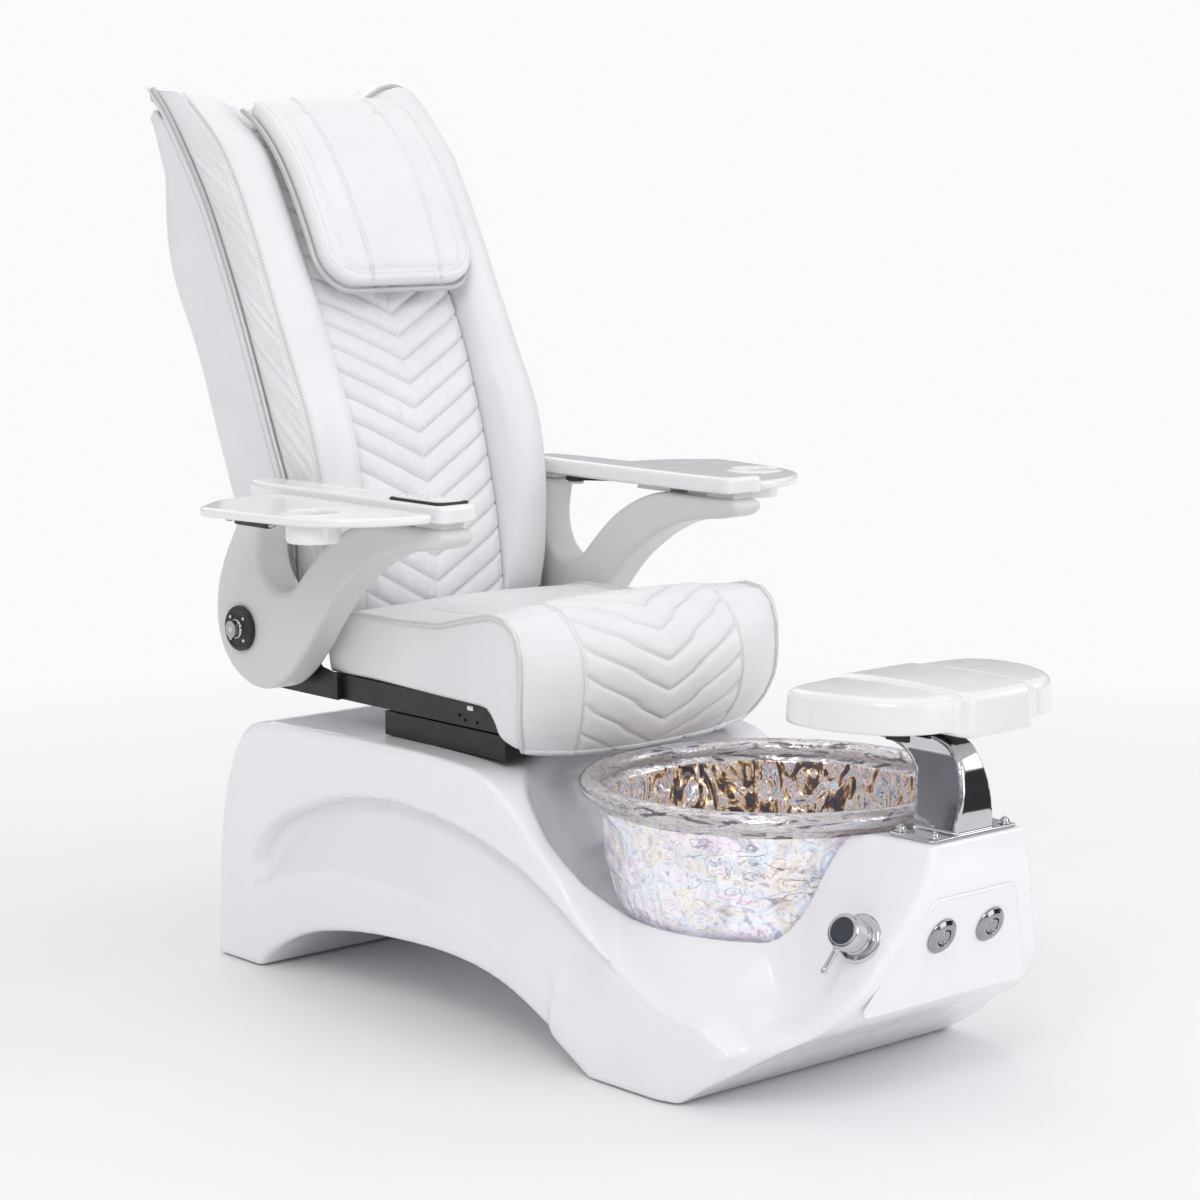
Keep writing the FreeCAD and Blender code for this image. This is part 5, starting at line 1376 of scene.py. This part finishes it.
def build_arm(sx, nm):
    P = rounded_poly(ARM, 60, 7)
    def arm(X, Y, Z):
        d = sdf_poly(P, Y[0], Z[0])
        r0 = 9 + 15 * (1 - sstep(330, 430, Y)) * (1 - sstep(30, 120, -Y + 100))
        f = rmax(np.broadcast_to(d[None], X.shape), np.abs(X - sx * 306.5) - 32.4, 11)
        # shallow dish for the pivot cap
        r = np.sqrt((Y - 506) ** 2 + (Z - 583) ** 2)
        dish = np.maximum(r - 39, 338.6 - sx * X)
        return rmax(f, -dish, 1.5)
    lo, hi = sorted((sx * 273, sx * 340))
    sdf_piece("armrest_moulded_" + nm, arm, (lo, -82, 484), (hi, 586, 791), 4.0, M["arm"], "arm_" + nm, 2, replaces=("armrest_" + nm,), slot="arm_plastic")
    pp = rounded_poly([(sx * x, y) for x, y in PADXY], 16, 6)
    def pad(X, Y, Z):
        d = sdf_poly(pp, X[:, :, 0], Y[:, :, 0])
        f = rmax(rmax(np.broadcast_to(d[:, :, None], X.shape), Z - 827.6, 6.5), 800.4 - Z, 4)
        if sx < 0:
            pk = rmax(rmax(np.abs(X + 296) - 33.2, np.abs(Y - 67) - 66.2, 7), 816 - Z, 0.5)
            f = np.maximum(f, -pk)
        return f
    lo, hi = sorted((sx * 256, sx * 341))
    sdf_piece("arm_pad_moulded_" + nm, pad, (lo, -21, 800), (hi, 501, 828), 3.2, M["tray"], "arm_" + nm, 2, replaces=("arm_pad_" + nm,), slot="tray_plastic")
    tp = rounded_poly([(sx * x, y) for x, y in TRAY], 44, 8)
    def tray(X, Y, Z):
        d = sdf_poly(tp, X[:, :, 0], Y[:, :, 0])
        r = np.sqrt((X - sx * CUP[0]) ** 2 + (Y - CUP[1]) ** 2)
        f = rmax(rmax(np.broadcast_to(d[:, :, None], X.shape), Z - 816.2, 5.0), 802.2 - Z, 3.0)
        lip = np.sqrt((r - 43.0) ** 2 + ((Z - 815.6) * 1.3) ** 2) - 4.2
        f = smin(f, lip, 3.0)
        return rmax(f, 37.6 - r, 2.0)
    lo, hi = sorted((sx * 341, sx * 557))
    sdf_piece("side_tray_moulded_" + nm, tray, (lo, -10, 801), (hi, 394, 821), 3.3, M["tray"], "tray_" + nm, 2, replaces=("tray_" + nm,), slot="tray_plastic")
    c = np.array([sx * CUP[0], CUP[1], 0.0])
    V, F = lathe(round_prof([(0, 775.6), (35.8, 775.6), (37.0, 778), (37.2, 801.5), (41.0, 801.5), (41.2, 777), (39.6, 772.2), (37, 771.6), (30, 771.6), (28.5, 773), (0, 773)], 1.4), c, (0, 0, 1), 84)
    make("cup_holder_moulded_" + nm, V, F, M["tray"], "tray_" + nm, ("cup_holder_" + nm,), "tray_plastic")
    # black stay and two bolt heads under the outer edge of the tray
    def stay(X, Y, Z):
        f = rmax(rmax(np.abs(X - sx * 502) - 14, np.abs(Y - 246) - 66, 6), np.abs(Z - 799.6) - 2.6, 1.2)
        g = rmax(rmax(np.abs(X - sx * 502) - 7, np.abs(Y - 238) - 44, 4), np.abs(Z - 793.5) - 4.5, 2.0)
        return smin(f, g, 2.0)
    lo, hi = sorted((sx * 486, sx * 518))
    sdf_piece("tray_stay_" + nm, stay, (lo, 178, 787), (hi, 314, 804), 2.4, M["black"], "tray_" + nm, 2, slot="black_plastic")
    parts = []
    for y in (190, 302):
        parts.append(lathe(round_prof([(0, 791.6), (4.4, 791.6), (6.0, 793.2), (6.4, 797.6), (0, 797.6)], 0.8, 3), np.array([sx * 502, y, 0.0]), (0, 0, 1), 28))
    V, F = join_meshes(parts)
    make("tray_stay_bolts_" + nm, V, F, M["steel"], "tray_" + nm, slot="grey_steel")
    # cap, bolt and four small screws at the arm pivot
    o = np.array([0, 506.0, 583.0]); A = np.array([sx * 1.0, 0, 0])
    V, F = lathe(round_prof([(14.6, 338.9), (37.2, 338.9), (37.2, 345.5), (35.2, 348.6), (30.5, 349.0), (29.2, 347.6), (21, 347.3), (19.5, 348.8), (14.6, 348.8)], 0.9), o, A, 84)
    make("arm_pivot_cap_ring_" + nm, V, F, M["plastic"], "seat", ("arm_pivot_caps",), "black_plastic")
    parts = [lathe(round_prof([(0, 362.8), (5.0, 362.8), (5.6, 361.2), (6.2, 362.2), (10.5, 360.4), (13.6, 356.6), (14.4, 352.0), (16.0, 351.6), (16.0, 347.5), (0, 347.5)], 1.0, 3), o, A, 48)]
    for k in range(4):
        a = math.radians(45 + 90 * k)
        parts.append(lathe(round_prof([(0, 350.6), (2.2, 350.6), (3.2, 349.6), (3.2, 346.8), (0, 346.8)], 0.6, 3), o + np.array([0, 25.2 * math.cos(a), 25.2 * math.sin(a)]), A, 20))
    V, F = join_meshes(parts)
    make("arm_pivot_bolts_" + nm, V, F, M["chrome"], "seat", slot="grey_steel")


def build_remote():
    def body(X, Y, Z):
        f = rmax(rmax(np.abs(X + 296) - 30.8, np.abs(Y - 67) - 63.8, 8), np.abs(Z - 823.6) - 7.4, 3.0)
        return f
    sdf_piece("remote_body", body, (-328, 2, 816), (-264, 132, 832), 2.2, M["plastic"], "remote", 2, replaces=("remote_control",), slot="black_plastic")
    parts = []
    def key(cx, cy, w, l, z, h):
        pp = rounded_poly([(cx - w / 2, cy - l / 2), (cx + w / 2, cy - l / 2), (cx + w / 2, cy + l / 2), (cx - w / 2, cy + l / 2)], min(w, l) * 0.3, 5)
        cc = pp.mean(0)
        rings = [(pp, z - 1.0), (pp, z + h * 0.6), (cc + (pp - cc) * 0.94, z + h), ]
        V = np.vstack([np.column_stack([p, np.full(len(p), zz)]) for p, zz in rings]); k = len(pp); F = []
        for r in range(2):
            for j in range(k):
                F.append([r * k + j, r * k + (j + 1) % k, (r + 1) * k + (j + 1) % k, (r + 1) * k + j])
        F.append(list(range(k))[::-1]); F.append([2 * k + j for j in range(k)])
        return V, F
    face = key(-296, 67, 55, 121, 830.8, 0.9)
    V, F = face; make("remote_face", V, F, M["screen"], "remote", slot="black_plastic")
    for cy in (112, 96, 80, 64):
        for cx in (-312, -296, -280):
            parts.append(key(cx, cy, 9.5, 8, 831.6, 1.2))
    parts.append(key(-296, 38, 38, 26, 831.6, 0.9)); parts.append(key(-296, 14, 18, 6, 831.6, 1.0))
    V, F = join_meshes(parts); make("remote_keys", V, F, M["label"], "remote", slot="black_plastic")


def build_small():
    # blank label on the rail
    pp = rounded_poly([(17, 501.5), (31, 501.5), (31, 508.5), (17, 508.5)], 1.2, 4); cc = pp.mean(0); V = []; F = []
    for sc, x in ((1, -251.0), (1, -252.5), (0.96, -252.8)):
        q = cc + (pp - cc) * sc
        V.append(np.column_stack([np.full(len(q), x), q]))
    k = len(pp); V = np.vstack(V)
    for r in range(2):
        for j in range(k):
            F.append([r * k + j, r * k + (j + 1) % k, (r + 1) * k + (j + 1) % k, (r + 1) * k + j])
    F.append(list(range(k))[::-1]); F.append([2 * k + j for j in range(k)])
    make("rail_blank_label", V, F, M["label"], "seat", slot="white_panel")


build_bowl(); build_panel(); build_buttons(); build_mixer(); build_footrest()
build_arm(1, "left"); build_arm(-1, "right"); build_remote(); build_small()
print("hard", time.time() - T0)


# --------------------------------------------------- floor, light and camera
BACK = (0.955, 0.957, 0.96)


def floor():
    bm = bmesh.new(); bmesh.ops.create_grid(bm, x_segments=8, y_segments=8, size=30)
    me = bpy.data.meshes.new("floor"); bm.to_mesh(me); bm.free()
    o = bpy.data.objects.new("floor", me); scene.collection.objects.link(o)
    mt, nt, b, vec, out = mat_new("pale_floor")
    nt.links.new(ramp(nt, noise(nt, vec, 3, 4), [(0.3, (0.90, 0.90, 0.905)), (0.7, (0.915, 0.915, 0.92))]), b.inputs["Base Color"])
    b.inputs["Roughness"].default_value = 0.5
    b.inputs["Specular IOR Level"].default_value = 0.2
    # far from the chair the floor runs out into the backdrop
    ln = nt.nodes.new("ShaderNodeVectorMath"); ln.operation = "LENGTH"; nt.links.new(vec, ln.inputs[0])
    k = maprange(nt, ln.outputs["Value"], 1.0, 3.2, 0.0, 1.0)
    em = nt.nodes.new("ShaderNodeEmission"); em.inputs[0].default_value = (*BACK, 1)
    ms = nt.nodes.new("ShaderNodeMixShader"); nt.links.new(k, ms.inputs[0])
    nt.links.new(b.outputs[0], ms.inputs[1]); nt.links.new(em.outputs[0], ms.inputs[2]); nt.links.new(ms.outputs[0], out.inputs[0])
    me.materials.append(mt)


def card(name, loc, aim, w, h, v=0.02):
    """dark card, seen only in reflections, that gives the bright metal its contrast"""
    bm = bmesh.new(); bmesh.ops.create_grid(bm, x_segments=1, y_segments=1, size=0.5)
    me = bpy.data.meshes.new(name); bm.to_mesh(me); bm.free()
    o = bpy.data.objects.new(name, me); scene.collection.objects.link(o)
    o.scale = (w, h, 1); o.location = loc
    o.rotation_euler = (Vector(aim) - Vector(loc)).to_track_quat("-Z", "Y").to_euler()
    me.materials.append(mat_black(name, (v, v, v * 1.05), 0.6))
    for a in ("visible_camera", "visible_diffuse", "visible_shadow", "visible_transmission", "visible_volume_scatter"):
        setattr(o, a, False)


def area(name, loc, aim, size, power, col=(1, 1, 1), size_y=None):
    l = bpy.data.lights.new(name, "AREA"); l.energy = power; l.color = col
    l.shape = "RECTANGLE"; l.size = size; l.size_y = size_y or size
    o = bpy.data.objects.new(name, l); scene.collection.objects.link(o)
    o.location = loc
    o.rotation_euler = (Vector(aim) - Vector(loc)).to_track_quat("-Z", "Y").to_euler()
    return o


floor()
w = bpy.data.worlds.new("soft_studio"); scene.world = w; w.use_nodes = True
nt = w.node_tree; nt.nodes.clear()
wo = nt.nodes.new("ShaderNodeOutputWorld"); tc = nt.nodes.new("ShaderNodeTexCoord")
sep = nt.nodes.new("ShaderNodeSeparateXYZ"); nt.links.new(tc.outputs["Generated"], sep.inputs[0])
z = maprange(nt, sep.outputs["Z"], -1, 1, 0, 1)
sky = ramp(nt, z, [(0.0, (0.92, 0.92, 0.96)), (0.47, (0.80, 0.80, 0.84)), (0.53, (0.26, 0.26, 0.29)), (0.59, (0.46, 0.46, 0.50)), (0.68, (0.95, 0.95, 0.98)), (1.0, (1.0, 1.0, 1.0))])
bg1 = nt.nodes.new("ShaderNodeBackground"); nt.links.new(sky, bg1.inputs[0]); bg1.inputs[1].default_value = 0.80
bg2 = nt.nodes.new("ShaderNodeBackground"); bg2.inputs[0].default_value = (*BACK, 1); bg2.inputs[1].default_value = 1.0
lp = nt.nodes.new("ShaderNodeLightPath"); mx = nt.nodes.new("ShaderNodeMixShader")
nt.links.new(lp.outputs["Is Camera Ray"], mx.inputs[0]); nt.links.new(bg1.outputs[0], mx.inputs[1]); nt.links.new(bg2.outputs[0], mx.inputs[2])
nt.links.new(mx.outputs[0], wo.inputs[0])
scene.view_settings.view_transform = "Standard"
area("key", (-3.0, -2.6, 3.4), (0, 0, 0.5), 1.6, 44, (1, 0.997, 0.99))
area("fill", (3.4, -2.4, 2.2), (0, 0, 0.6), 2.0, 20, (0.97, 0.98, 1.0))
area("rim", (1.0, 3.2, 3.0), (0, 0, 0.8), 2.2, 16)
area("top", (0.0, 0.0, 4.0), (0, 0, 0.5), 2.6, 14)
area("front", (1.2, -4.6, 1.5), (0, -0.4, 0.5), 2.2, 26, (0.97, 0.98, 1.0))
card("card_front_right", (1.15, -1.75, 0.45), (0, -0.8, 0.5), 0.9, 0.9)
card("card_left", (-1.5, 0.3, 0.2), (0, -0.7, 0.5), 0.22, 0.7, 0.06)

cam = bpy.data.cameras.new("camera"); cam.lens = 91.92; cam.sensor_width = 36; cam.clip_end = 100
co = bpy.data.objects.new("camera", cam); scene.collection.objects.link(co)
co.location = (-3.2034, -3.6246, 1.3649)
co.rotation_euler = (Vector((-0.0047, -0.043, 0.6523)) - co.location).to_track_quat("-Z", "Y").to_euler()
scene.camera = co
scene.frame_set(1)
